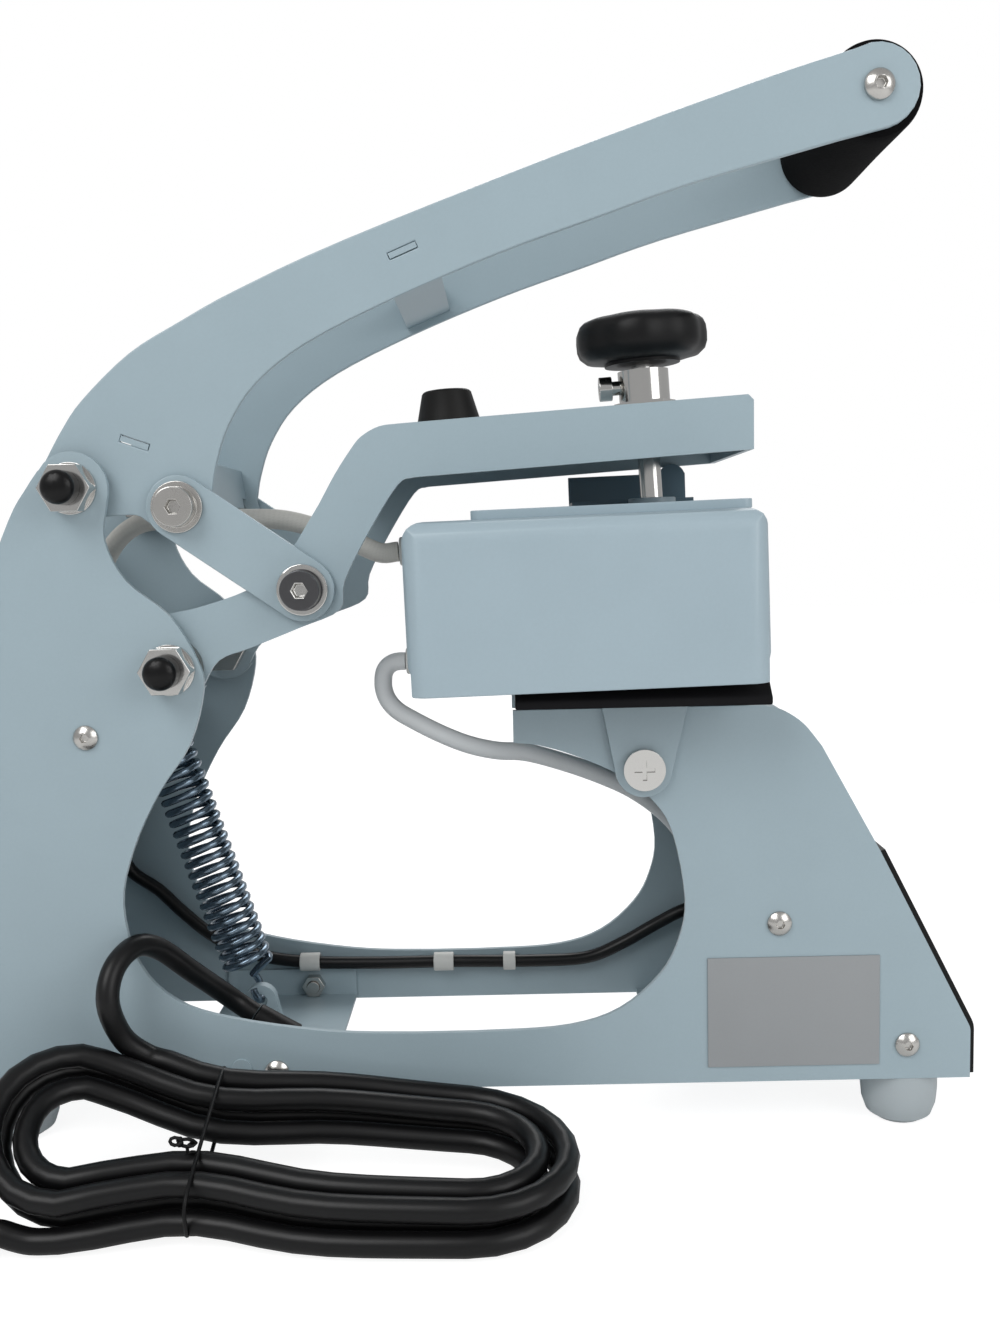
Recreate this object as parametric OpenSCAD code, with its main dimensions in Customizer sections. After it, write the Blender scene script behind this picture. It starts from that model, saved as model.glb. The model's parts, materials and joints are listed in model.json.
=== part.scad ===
// Cap heat press with a toggle handle, a concave heater head and a rocking lower platen.
// X runs from the rear column to the control panel, Y across the frame, Z up from the table.
// Near means -Y, the side with the label plate. The press is drawn with its handle part open.

/* [Frame] */
// Width over the two side plates
frame_w = 90; // [84:1:100]
// Thickness of the side plates
plate_t = 2; // [1.5:0.1:2.5]
// Thickness of the folded covers between the plates
cover_t = 1.5; // [1:0.1:2]
// Diameter of the feet
foot_d = 26; // [20:1:30]
// Diameter of the pan heads on the frame screws
frame_screw_head_d = 8.4; // [7:0.2:10]

/* [Pivots] */
// Shank diameter of the four frame pivot bolts
pivot_bolt_d = 10; // [8:0.5:11]
// Wall of the pivot bushes
bush_wall = 2; // [1.5:0.1:2.5]
// Flange diameter of the pivot bushes
bush_flange_d = 20; // [18:0.5:22]
// Width across flats of the pivot nuts
nut_flats = 15; // [14:0.5:17]
// Diameter of the black caps on the pivot nuts
cap_d = 11; // [10:0.5:13]
// How far the caps stand out of the nuts
cap_out = 8; // [6:0.5:10]

/* [Toggle links] */
// Width of a link
link_w = 21; // [18:0.5:22]
// Thickness of a link
link_t = 2.2; // [1.8:0.1:2.4]
// Diameter of the bolt that holds a link to the handle
link_bolt_d = 8; // [6:0.5:9]
// Diameter of the link washers
link_washer_d = 17; // [15:0.5:19]
// Head diameter of the link bolts
link_head_d = 13; // [11:0.5:14]

/* [Handle] */
// Thickness of the handle side plates
handle_plate_t = 2.5; // [2:0.1:3]
// Thickness of the bent bridges between them
bridge_t = 2; // [1.5:0.1:2.5]
// Diameter of the foam grip
grip_d = 31.5; // [25:0.5:33]
// Diameter of the steel bar inside the grip
grip_bar_d = 14; // [12:0.5:18]
// Head diameter of the grip screws
grip_screw_head_d = 10; // [8:0.5:12]

/* [Upper arm] */
// Wall of the upper arm channel
arm_wall = 2; // [1.5:0.1:2.5]
// Base diameter of the rubber bumper
bumper_d = 23; // [18:0.5:24]
// Height of the rubber bumper
bumper_h = 13.8; // [8:0.2:13.8]

/* [Pressure screw] */
// Diameter of the pressure screw
screw_d = 8; // [6:0.5:10]
// Diameter of the knob
knob_d = 47; // [40:1:54]
// Thickness of the knob's rim
knob_h = 16.5; // [12:0.5:20]
// Diameter of the threaded collar on the arm
collar_d = 19; // [16:0.5:22]
// Height of the collar
collar_h = 15; // [12:0.5:16]

/* [Heater head] */
// Length of the heater housing
housing_l = 113; // [105:1:116]
// Width of the heater housing
housing_w = 150; // [148:1:158]
// Height of the heater housing
housing_h = 54; // [52:0.5:56]
// Wall of the heater housing
housing_wall = 1.5; // [1:0.1:2]
// Length of the pressed area
platen_l = 78; // [70:1:80]
// Radius of the heater's hollow face
heater_r = 103; // [102.5:0.5:105]
// Thickness of the heater casting
heater_t = 8; // [6:0.5:9]
// Thickness of the plate on top of the housing
top_plate_t = 3; // [2:0.5:4]

/* [Lower platen] */
// Radius of the pad's crowned face
pad_r = 102; // [100:0.5:102]
// Thickness of the silicone pad
pad_t = 4; // [3:0.5:5]
// Width of the pad and its saddle across the frame
pad_w = 142; // [136:1:143]
// Thickness of the rocking bracket
rocker_t = 2; // [1.5:0.1:2.5]
// Diameter of the screws that the lower platen rocks on
rocker_screw_d = 8; // [6:0.5:9]

/* [Return spring] */
// Outer diameter of the spring
spring_d = 19; // [16:0.5:21]
// Diameter of the spring wire
wire_d = 2.8; // [1.8:0.1:3]
// Number of curls
spring_curls = 25; // [20:1:26]

/* [Control panel] */
// Width of the sloped control fascia
fascia_w = 86; // [76:1:88]
// Thickness of the fascia
fascia_t = 2; // [1.5:0.1:2.5]
// Diameter of the four push buttons
button_d = 9; // [7:0.5:10]
// Travel of a push button
button_travel = 1; // [0.5:0.1:1.5]
// Width of the display window
window_w = 44; // [36:1:50]

/* [Cords] */
// Diameter of the mains cord
mains_d = 7.5; // [7:0.1:8]
// Diameter of the sleeved cable to the head
head_cable_d = 7; // [6:0.2:7.4]
// Diameter of the sensor cable under the head
lower_cable_d = 6.4; // [5:0.2:7]
// Diameter of the lead along the far rail
inner_lead_d = 5; // [4:0.2:6]
// Whole loops in the tied hank
hank_loops = 3; // [2:1:4]

/* [Hidden] */
$fn = 48;

// Colours of the finishes
paint = "#a9bcc6";
paint_light = "#b9cbd5";
steel = "#b9bbbd";
dark_steel = "#77797b";
black = "#1c1c1e";
pale_grey = "#c9cac6";
beige = "#b5b0a6";

// Clearances
run_fit = 0.06;
bolt_gap = 0.2;
hair = 0.15;
part_gap = 0.3;
through = 1;

// Heights and corners of the frame outline
base_z = 18;
column_rear_x = -172.4;
panel_front_x = 170.4;
pedestal_top_z = 147;
panel_top = [139.6, 97];
panel_corner_r = 6;
panel_corner = [panel_front_x - panel_corner_r, 34];

// Layers across the frame, measured from the middle plane
plate_out = frame_w / 2;
plate_in = plate_out - plate_t;
link_in = plate_in - 0.5 - link_t;
arm_out = link_in - 0.5;
handle_in = arm_out - handle_plate_t;
arm_in = arm_out - arm_wall;

// Pivot axes at rest, X and Z
handle_pivot = [-124.4, 223];
arm_pivot = [-95, 163];
link_top = [-90.6, 216.3];
link_low = [-50.6, 188.3];
rocker_pivot = [60.7, 126.9];
grip_axis = [139, 345];
tail_pin = [-119, 162];
tail_pin_d = 6;

// Slope of the head at rest, in degrees, and the middle of its housing's lower edge
head_tilt = 1.3;
head_at = [42, 156.4];

// The panel's slope leaves its top point and meets the lower corner as a tangent
panel_slope = atan2(panel_top[1] - panel_corner[1], panel_corner[0] - panel_top[0])
    - asin(panel_corner_r / norm(panel_corner - panel_top));

// A smooth line through hand-set points
function between(a, b, c, d, t) = 0.5 * (2 * b + (c - a) * t + (2 * a - 5 * b + 4 * c - d) * t * t
    + (3 * b - a - 3 * c + d) * t * t * t);
function curve(p, n = 4) = let (last = len(p) - 1)
    concat([for (i = [0:last - 1], k = [0:n - 1])
        between(i == 0 ? 2 * p[0] - p[1] : p[i - 1], p[i], p[i + 1],
            i == last - 1 ? 2 * p[last] - p[last - 1] : p[i + 2], k / n)], [p[last]]);
function arc(c, r, a0, a1, n = 12) = [for (i = [0:n])
    let (a = a0 + (a1 - a0) * i / n) c + r * [cos(a), sin(a)]];

// Sheet cut to an XZ outline, from y0 to y0 + t
module sheet_xz(points, y0, t) {
    translate([0, y0 + t, 0]) rotate([90, 0, 0]) linear_extrude(t) polygon(points);
}

// Round bar along Y at an XZ place
module bar_y(at, y0, y1, d) {
    translate([at[0], y0, at[1]]) rotate([-90, 0, 0]) cylinder(h = y1 - y0, d = d);
}

// Ring along Y
module ring_y(at, y0, y1, d_out, d_in) {
    translate([at[0], y0, at[1]]) rotate([-90, 0, 0]) difference() {
        cylinder(h = y1 - y0, d = d_out);
        translate([0, 0, -through]) cylinder(h = y1 - y0 + 2 * through, d = d_in);
    }
}

module both_sides() {
    children();
    mirror([0, 1, 0]) children();
}

// Button-head screw along Y with a hex socket: head outwards, shank inwards
module button_screw(head_d, head_h, shank_d, shank_l, socket) {
    difference() {
        union() {
            intersection() {
                cylinder(h = head_h, d = head_d);
                translate([0, 0, head_h - head_d * 0.7]) sphere(d = head_d * 1.4);
            }
            translate([0, 0, -shank_l]) cylinder(h = shank_l, d = shank_d);
        }
        translate([0, 0, head_h * 0.35]) cylinder(h = head_h, d = socket, $fn = 6);
    }
}

module out_y(at, y) {
    translate([at[0], y, at[1]]) rotate([-90, 0, 0]) children();
}

// Outline of the side plates
column_rear = curve([[column_rear_x, base_z], [column_rear_x, 52], [-170.5, 88], [-165, 154],
    [-157, 185], [-145.5, 213], [-139, 223.5], [-135, 229]]);
pivot_lobe_r = 12;
column_front = curve([[-113, 219], [-114.5, 206], [-108, 192.5], [-94.5, 181], [-86, 166.5],
    [-84.2, 156], [-89.5, 138], [-100.5, 122], [-110, 103], [-114.5, 84], [-110, 63.5],
    [-98, 50.5], [-80, 44], [-50, 39], [-25, 37.5], [10, 37.5], [35, 39], [52, 44.5], [65.5, 56],
    [72, 68], [74.3, 82], [70.5, 104], [64.5, 115], [54, 124], [38, 131.5], [26, 135.2], [17.8, 136.2]]);
pedestal_top = concat([[17.8, pedestal_top_z]],
    curve([[101, pedestal_top_z], [107.5, 145], [114, 140.5], [120, 133]]));
panel_rear_cut = [[panel_front_x, base_z]];
panel_arc = arc(panel_corner, panel_corner_r, 90 - panel_slope, 0, 4);
panel_edge = concat([panel_top], panel_arc);
plate_outline = concat(column_rear, arc(handle_pivot, pivot_lobe_r, 150, -10, 10), column_front,
    pedestal_top, panel_edge, panel_rear_cut);

// Screw places on the plates, X and Z
rear_screw = [-124, 141];
base_screw = [-65, 24.8];
pedestal_screw = [105.8, 73];
panel_screw = [149, 30];
rear_foot_x = -158;
front_foot_x = 150;
foot_y = 32;

function shifted(p, d) = let (last = len(p) - 1) [for (i = [0:last])
    let (v = p[min(i + 1, last)] - p[max(i - 1, 0)]) p[i] + d / norm(v) * [v[1], -v[0]]];
function turned_back(p) = [for (i = [len(p) - 1:-1:0]) p[i]];
function band(p, t) = concat(p, turned_back(shifted(p, t)));

m5 = 5;
dimple_d = 7.2;
dimple_h = 0.6;
base_dimple = [-77, 26];
label = [[81.5, 23.5], [139.5, 61.5]];
label_t = 0.5;

module side_plate() {
    difference() {
        union() {
            sheet_xz(plate_outline, plate_in, plate_t);
            bar_y(base_dimple, plate_out, plate_out + dimple_h, dimple_d);
        }
        for (at = [handle_pivot, arm_pivot])
            bar_y(at, plate_in - through, plate_out + through, pivot_bolt_d + bolt_gap);
        for (at = [rear_screw, base_screw, pedestal_screw, panel_screw])
            bar_y(at, plate_in - through, plate_out + through, m5 + bolt_gap);
        bar_y(rocker_pivot, plate_in - through, plate_out + through, rocker_screw_d + bolt_gap);
    }
}

module left_side_plate() {
    color(paint) mirror([0, 1, 0]) side_plate();
}

module right_side_plate() {
    color(paint) side_plate();
}

// Folded sheet behind the column, with a foot flange and two screw tabs
rear_line = shifted(curve([[column_rear_x, base_z + cover_t / 2], [column_rear_x, 52], [-170.5, 88],
    [-165, 154], [-157, 185], [-147, 209]]), part_gap);
rear_tab = [[-166.2, 132], [-164.5, 150], [-114, 150], [-114, 132]];
foot_flange_l = 32;

module rear_cover() {
    tab_x = column_rear_x + part_gap;
    color(paint) difference() {
        union() {
            sheet_xz(band(rear_line, cover_t), -plate_in, 2 * plate_in);
            translate([tab_x, -plate_in, base_z]) cube([foot_flange_l, 2 * plate_in, cover_t]);
            both_sides() sheet_xz(rear_tab, plate_in - cover_t, cover_t);
        }
        both_sides() bar_y(rear_screw, plate_in - cover_t - through, plate_in + through, m5 + bolt_gap);
    }
}

// Folded sheet that closes the top and the slope of the pedestal
front_line = concat(curve([[78, pedestal_top_z - 3], [101, pedestal_top_z - 0.4], [107.3, 144.7],
    [113.7, 140.2], [119.7, 133]]), panel_edge,
    [[panel_front_x, base_z + cover_t + hair]]);
button_u = 46;
button_gap = 18;
button_flange = 3;
window_u = 18;
window_h = 22;
window_rim = 2;

// Children on the slope: X runs down it, Z stands out of it
module on_panel(u, y) {
    translate([panel_top[0] + cos(panel_slope) * u, y, panel_top[1] - sin(panel_slope) * u])
        rotate([0, panel_slope, 0]) children();
}

module button_holes() {
    for (i = [0:3]) on_panel(button_u, (i - 1.5) * button_gap)
        translate([0, 0, -cover_t - through]) cylinder(h = 8, d = button_d + 2 * hair);
}

module front_cover() {
    color(paint) difference() {
        sheet_xz(band(front_line, cover_t), -plate_in, 2 * plate_in);
        button_holes();
        on_panel(window_u, 0) translate([0, 0, -cover_t])
            cube([window_h - 2 * window_rim, window_w - 2 * window_rim, 4 * cover_t], center = true);
    }
}

fascia_inset = 0.7;

module control_fascia() {
    start = panel_top + fascia_inset * [cos(panel_slope), -sin(panel_slope)];
    line = concat([start], panel_arc, [[panel_front_x, base_z + fascia_inset]]);
    color(black) difference() {
        sheet_xz(band(line, -fascia_t), -fascia_w / 2, fascia_w);
        button_holes();
        on_panel(window_u, 0) cube([window_h + 2 * hair, window_w + 2 * hair, 4 * fascia_t], center = true);
    }
}

module display_window() {
    lens_t = fascia_t * 0.8;
    color("#20262c") on_panel(window_u, 0) translate([0, 0, lens_t / 2])
        cube([window_h, window_w, lens_t], center = true);
}

// Push buttons sit in the slope and press the switches on the board
button_out = 1.8;
button_in = 5;
board_depth = 9;
board_t = 1.6;
switch_gap = 0.3;

module push_button(i) {
    color(pale_grey) on_panel(button_u, (i - 1.5) * button_gap) {
        translate([0, 0, -button_in]) cylinder(h = button_in + fascia_t + button_out, d = button_d);
        translate([0, 0, -button_in]) cylinder(h = button_in - cover_t - part_gap, d = button_d + button_flange);
    }
}

module power_button() { push_button(0); }
module set_button() { push_button(1); }
module up_button() { push_button(2); }
module down_button() { push_button(3); }

module circuit_board() {
    board = [64, 74];
    post_d = 5;
    switch_h = board_depth - board_t - button_in - button_travel - switch_gap;
    color("#2f5f46") {
        on_panel(board[0] / 2, 0) translate([0, 0, -board_depth])
            linear_extrude(board_t) square(board, center = true);
        for (u = [5, board[0] - 5], y = [-32, 32]) on_panel(u, y)
            translate([0, 0, -board_depth]) cylinder(h = board_depth - cover_t, d = post_d);
        for (i = [0:3]) on_panel(button_u, (i - 1.5) * button_gap)
            translate([0, 0, -board_depth]) cylinder(h = board_t + max(0.5, switch_h), d = 5);
        on_panel(window_u, 0) translate([0, 0, -board_depth + 3])
            cube([16, 38, 6], center = true);
    }
}

module label_plate() {
    color("#a2a5a6") mirror([0, 1, 0]) translate([label[0][0], plate_out, label[0][1]])
        cube([label[1][0] - label[0][0], label_t, label[1][1] - label[0][1]]);
}

// Cross plate in the base that carries the spring's lower lug
cross_x = [-100, -48];
lug_hole = [-78.5, 34];
lug_t = 4;
lug_hole_d = 5;

module base_cross_plate() {
    length = cross_x[1] - cross_x[0];
    flange_h = 12;
    color(paint) difference() {
        union() {
            translate([cross_x[0], -plate_in, base_z + 1]) cube([length, 2 * plate_in, cover_t]);
            both_sides() translate([cross_x[0], plate_in - cover_t, base_z + 1])
                cube([length, cover_t, flange_h]);
            sheet_xz(concat([[-88, base_z + 1], [-69, base_z + 1]],
                arc(lug_hole, 6, 0, 180, 10)), -lug_t / 2, lug_t);
        }
        both_sides() bar_y(base_screw, plate_in - cover_t - through, plate_in + through, m5 + bolt_gap);
        bar_y(lug_hole, -lug_t, lug_t, lug_hole_d);
    }
}

// Floor of the pedestal, with tabs for the plate screws
module pedestal_floor() {
    floor_x = [66, panel_front_x - cover_t - 1];
    tall_tab = [98, 114];
    low_tab = [140, 158];
    color(paint) difference() {
        union() {
            translate([floor_x[0], -plate_in, base_z]) cube([floor_x[1] - floor_x[0], 2 * plate_in, cover_t]);
            both_sides() {
                translate([tall_tab[0], plate_in - cover_t, base_z]) cube([tall_tab[1] - tall_tab[0], cover_t, 63]);
                translate([low_tab[0], plate_in - cover_t, base_z]) cube([low_tab[1] - low_tab[0], cover_t, 20]);
            }
        }
        both_sides() for (at = [pedestal_screw, panel_screw])
            bar_y(at, plate_in - cover_t - through, plate_in + through, m5 + bolt_gap);
    }
}

module base_feet() {
    r = foot_d / 2;
    color("#d5d9da") for (x = [rear_foot_x, front_foot_x], y = [-foot_y, foot_y]) translate([x, y, 0])
        rotate_extrude() polygon([[0, 0], [r * 0.62, 0], [r * 0.85, 2], [r * 0.96, 6], [r, 11],
            [r, base_z], [0, base_z]]);
}

nut_h = 8;
inner_nut_h = 4;
inner_nut_flats = 8;
flats_to_corners = 2 / sqrt(3);

module frame_screws() {
    grip_l = plate_t + cover_t;
    color(steel) both_sides() for (at = [rear_screw, base_screw, pedestal_screw, panel_screw]) {
        out_y(at, plate_out) button_screw(frame_screw_head_d, 2.4, m5, grip_l + inner_nut_h + 1, 3);
        out_y(at, plate_in - cover_t - inner_nut_h) difference() {
            cylinder(h = inner_nut_h, d = inner_nut_flats * flats_to_corners, $fn = 6);
            translate([0, 0, -through]) cylinder(h = inner_nut_h + 2 * through, d = m5 + hair);
        }
    }
}

bolt_head_h = 6.5;
bolt_tip = 0;

module pivot_bolts() {
    head_in = [handle_in, arm_in];
    color(steel) both_sides() for (i = [0, 1]) {
        at = [handle_pivot, arm_pivot][i];
        seat = head_in[i] - part_gap;
        bar_y(at, seat, plate_out + nut_h + bolt_tip, pivot_bolt_d);
        out_y(at, seat - bolt_head_h) cylinder(h = bolt_head_h, d = 16 * flats_to_corners, $fn = 6);
    }
}

module pivot_nuts() {
    flange_h = 1.6;
    color(steel) both_sides() for (at = [handle_pivot, arm_pivot]) out_y(at, plate_out) difference() {
        union() {
            cylinder(h = flange_h, d = nut_flats + 2);
            cylinder(h = nut_h, d = nut_flats * flats_to_corners, $fn = 6);
        }
        translate([0, 0, -through]) cylinder(h = nut_h + 2 * through, d = pivot_bolt_d + bolt_gap);
    }
}

module pivot_caps() {
    wall = 1.2;
    r = cap_d / 2;
    dome = concat([[0, 0], [r, 0], [r, cap_out - r * 0.55]],
        [for (a = [10:16:90]) [r * cos(a), cap_out - r * 0.55 + r * 0.55 * sin(a)]]);
    color(black) both_sides() for (at = [handle_pivot, arm_pivot]) out_y(at, plate_out + nut_h) difference() {
        rotate_extrude() polygon(concat(dome, [[0, cap_out]]));
        translate([0, 0, -through]) cylinder(h = through + bolt_tip + 0.5, d = min(pivot_bolt_d + 0.6, cap_d - 2 * wall));
    }
}

// Flanged bush round a pivot bolt: its sleeve fills the moving plate's hole
module bush(at, inner_y) {
    out_y(at, inner_y) difference() {
        union() {
            cylinder(h = arm_out + hair - inner_y, d = pivot_bolt_d + 2 * bush_wall);
            translate([0, 0, arm_out + hair - inner_y])
                cylinder(h = plate_in - arm_out - 2 * hair, d = bush_flange_d);
        }
        translate([0, 0, -through]) cylinder(h = plate_in, d = pivot_bolt_d + 2 * run_fit);
    }
}

module handle_bushes() {
    color("#8a8c8e") both_sides() bush(handle_pivot, handle_in);
}

module arm_bushes() {
    color("#8a8c8e") both_sides() bush(arm_pivot, arm_in);
}

// Handle: two side plates with bent bridges, a steel bar and a foam grip
handle_lobe_r = 12;
link_lobe_r = 11.5;
handle_end_r = 13.4;
handle_top = curve([[-135, 231], [-128.5, 242], [-121, 252], [-105, 266.5], [-88, 276.3], [-69, 286],
    [-33.5, 301], [38, 326.7], [99.5, 347], [132, 356.6]]);
handle_low = curve([[126.6, 328.4], [79, 316], [48, 306], [17, 295.8], [-17.4, 282.4], [-47, 268.5],
    [-64, 256], [-73.4, 242.7], [-78, 230], [-79.8, 220.5]]);
handle_outline = concat(handle_top, arc(grip_axis, handle_end_r, 100, -75, 12), handle_low,
    arc(link_top, link_lobe_r, 20, -105, 10), curve([[-101, 211.5], [-105, 214], [-112, 214]]),
    arc(handle_pivot, handle_lobe_r, -50, -205, 12));
rear_bridge_line = [[-112, 241.5], [-85.5, 232], [-83.5, 217.5]];
rear_tab_at = [-104.5, 237.7];
rear_tab_tilt = -19.7;
link_nut_room = [6.5, 16.5];
front_bridge_tilt = 22.2;
front_bridge_at = [-19, 284.6];
front_bridge = [17.6, 11];
tab_l = 9.6;
slot_l = 10;
slot_h = 2.4;
grip_screw_d = 6;

module tab_at(at, tilt, l, h, y0, y1) {
    translate([at[0], y0, at[1]]) rotate([0, -tilt, 0]) translate([-l / 2, 0, -h / 2]) cube([l, y1 - y0, h]);
}
front_tab_place = [front_bridge[0] / 2, front_bridge[1] - bridge_t / 2];
front_tab_at = front_bridge_at + [
    front_tab_place[0] * cos(front_bridge_tilt) - front_tab_place[1] * sin(front_bridge_tilt),
    front_tab_place[0] * sin(front_bridge_tilt) + front_tab_place[1] * cos(front_bridge_tilt)];
bridge_end = 3;

module handle_plate() {
    difference() {
        sheet_xz(handle_outline, handle_in, handle_plate_t);
        bar_y(handle_pivot, handle_in - through, arm_out + through, pivot_bolt_d + 2 * bush_wall + 2 * run_fit);
        bar_y(link_top, handle_in - through, arm_out + through, link_bolt_d + bolt_gap);
        bar_y(grip_axis, handle_in - through, arm_out + through, grip_screw_d + bolt_gap);
        tab_at(rear_tab_at, rear_tab_tilt, slot_l, slot_h, handle_in - through, arm_out + through);
        tab_at(front_tab_at, front_bridge_tilt, slot_l, slot_h, handle_in - through, arm_out + through);
    }
}

module left_handle_plate() {
    color(paint) mirror([0, 1, 0]) handle_plate();
}

module right_handle_plate() {
    color(paint) handle_plate();
}

module handle_rear_bridge() {
    color(paint) {
        difference() {
            sheet_xz(band(rear_bridge_line, bridge_t), -handle_in, 2 * handle_in);
            both_sides() bar_y(link_top, handle_in - link_nut_room[0], handle_in + through, link_nut_room[1]);
        }
        both_sides() tab_at(rear_tab_at, rear_tab_tilt, tab_l, min(bridge_t, slot_h) - hair,
            handle_in, arm_out);
    }
}

module handle_front_bridge() {
    w = front_bridge[0];
    h = front_bridge[1];
    tab_t = min(bridge_t, slot_h) - hair;
    tab_out = arm_out - handle_in;
    color(paint) translate([front_bridge_at[0], 0, front_bridge_at[1]]) rotate([0, -front_bridge_tilt, 0]) {
        difference() {
            translate([0, -handle_in, 0]) cube([w, 2 * handle_in, h]);
            translate([bridge_t, -2 * handle_in, bridge_t]) cube([w - 2 * bridge_t, 4 * handle_in, h - 2 * bridge_t]);
            translate([bridge_t, bridge_end - handle_in, bridge_t])
                cube([w - 2 * bridge_t, 2 * (handle_in - bridge_end), h]);
        }
        both_sides() translate([front_tab_place[0] - tab_l / 2, handle_in - 1, front_tab_place[1] - tab_t / 2])
            cube([tab_l, tab_out + 1, tab_t]);
    }
}

module grip_sleeve() {
    color(black) difference() {
        bar_y(grip_axis, -handle_in, handle_in, grip_d);
        bar_y(grip_axis, -plate_out, plate_out, grip_bar_d + bolt_gap);
    }
}

grip_thread_l = 16;

module grip_bar() {
    color(steel) difference() {
        bar_y(grip_axis, -handle_in, handle_in, grip_bar_d);
        both_sides() bar_y(grip_axis, handle_in - grip_thread_l, handle_in + through, grip_screw_d + hair);
    }
}

module grip_screws() {
    color(steel) both_sides() out_y(grip_axis, arm_out)
        button_screw(grip_screw_head_d, 3.3, grip_screw_d, handle_plate_t + grip_thread_l - 2, 4);
}

// Links on bushes, with a bolt and washer at each end
link_out = link_in + link_t;
washer_t = 1.6;
link_head_h = 5.4;
link_bush_wall = 1.5;

module washer_and_head(y, head_h) {
    bar_y([0, 0], y, y + washer_t, link_washer_d);
    out_y([0, 0], y + washer_t) difference() {
        cylinder(h = head_h, d = link_head_d);
        translate([0, 0, head_h * 0.5]) cylinder(h = head_h, d = 5, $fn = 6);
    }
}

module handle_link_bolts() {
    color(steel) both_sides() translate([link_top[0], 0, link_top[1]]) {
        washer_and_head(link_out + hair, link_head_h);
        bar_y([0, 0], handle_in - 6, link_out + hair, link_bolt_d);
        out_y([0, 0], handle_in - 5) difference() {
            cylinder(h = 5, d = 13 * flats_to_corners, $fn = 6);
            translate([0, 0, -through]) cylinder(h = 7, d = link_bolt_d - hair);
        }
    }
}

module link_bushes() {
    color("#8a8c8e") both_sides() ring_y(link_top, arm_out + hair, link_out + hair / 2,
        link_bolt_d + 2 * link_bush_wall, link_bolt_d + 2 * run_fit);
}

module toggle_links() {
    along = atan2(link_low[1] - link_top[1], link_low[0] - link_top[0]);
    outline = concat(arc(link_top, link_w / 2, along + 90, along + 270, 18),
        arc(link_low, link_w / 2, along - 90, along + 90, 18));
    color(paint) both_sides() difference() {
        sheet_xz(outline, link_in, link_t);
        bar_y(link_top, link_in - through, link_out + through,
            link_bolt_d + 2 * link_bush_wall + 2 * run_fit);
        bar_y(link_low, link_in - through, link_out + through, link_bolt_d + bolt_gap);
    }
}

module arm_link_bolts() {
    color(dark_steel) both_sides() translate([link_low[0], 0, link_low[1]]) {
        washer_and_head(link_out, link_head_h + 0.6);
        bar_y([0, 0], arm_out + part_gap, link_out, link_bolt_d);
    }
}

// Upper arm: a folded channel with an end plate and a tail for the spring
arm_front_x = 98.8;
arm_top_line = concat(curve([[-44.5, 216.5], [-39, 226], [-33.8, 233.6], [-30, 238], [-24, 241.2], [-17, 242]]),
    [[97, 248.8]]);
arm_low_line = concat(curve([[-86, 156], [-80, 165.2], [-69, 169.3], [-52.5, 175.6], [-39, 181.3],
    [-37, 190.8], [-29, 206], [-18.5, 222], [-13, 224.4]]), [[arm_front_x, 231]]);
arm_wall_outline = concat(arc(tail_pin, 8, 80, 265, 12), arc(arm_pivot, 12, 240, 330, 8), arm_low_line,
    [[arm_front_x, 247]], turned_back(arm_top_line), curve([[-52.5, 204], [-62, 194], [-70, 188.3],
    [-85, 183.4], [-96, 181.2]]));
web_start = 2;
screw_at = [67.8, 247.06];
top_line_tilt = 3.42;

// Children on the pressure screw's axis, from the top of the arm
module on_screw() {
    translate([screw_at[0], 0, screw_at[1]]) rotate([0, -top_line_tilt, 0]) children();
}

module upper_arm() {
    web_line = [for (i = [web_start:len(arm_top_line) - 1]) arm_top_line[i]];
    color(paint) difference() {
        union() {
            both_sides() sheet_xz(arm_wall_outline, arm_in, arm_wall);
            sheet_xz(band(web_line, arm_wall), -arm_in, 2 * arm_in);
            translate([arm_front_x - arm_wall, -arm_in, 231]) cube([arm_wall, 2 * arm_in, 16.2]);
            bar_y(tail_pin, -arm_in, arm_in, tail_pin_d);
        }
        both_sides() bar_y(arm_pivot, arm_in - through, arm_out + through,
            pivot_bolt_d + 2 * bush_wall + 2 * run_fit);
        on_screw() translate([0, 0, -3 * arm_wall]) cylinder(h = 6 * arm_wall, d = screw_d + 3);
    }
}

bumper_at = [-2.5, 242.87];

module rubber_bumper() {
    r = bumper_d / 2;
    color(black) translate([bumper_at[0], 0, bumper_at[1]]) rotate([0, -top_line_tilt, 0])
        rotate_extrude() polygon([[0, 0], [r, 0], [r * 0.97, bumper_h * 0.25],
            [r * 0.77, bumper_h - 1], [r * 0.7, bumper_h], [0, bumper_h]]);
}

collar_base_h = 4;
lock_z = 9.6;
lock_d = 5;
lock_head_d = 8.5;

module collar_nut() {
    color(steel) on_screw() difference() {
        union() {
            cylinder(h = collar_base_h, d = collar_d * flats_to_corners, $fn = 6);
            cylinder(h = collar_h, d = collar_d - 1);
        }
        translate([0, 0, -through]) cylinder(h = collar_h + 2 * through, d = screw_d + 2 * run_fit);
        translate([0, 0, lock_z]) rotate([0, -90, 0]) cylinder(h = collar_d, d = lock_d + hair);
    }
}

module lock_screw() {
    collar_r = (collar_d - 1) / 2;
    color(steel) on_screw() translate([0, 0, lock_z]) rotate([0, -90, 0]) {
        translate([0, 0, screw_d / 2 + part_gap]) cylinder(h = collar_r - screw_d / 2 + 3, d = lock_d);
        translate([0, 0, collar_r + 2.5]) difference() {
            cylinder(h = 4.5, d = lock_head_d);
            translate([0, 0, 2]) cylinder(h = 4, d = 4, $fn = 6);
        }
    }
}

screw_height = (screw_at[1] - head_at[1]) * cos(head_tilt) - (screw_at[0] - head_at[0]) * sin(head_tilt);
screw_below = screw_height - housing_h - part_gap - hair;
screw_top = 29;

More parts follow.
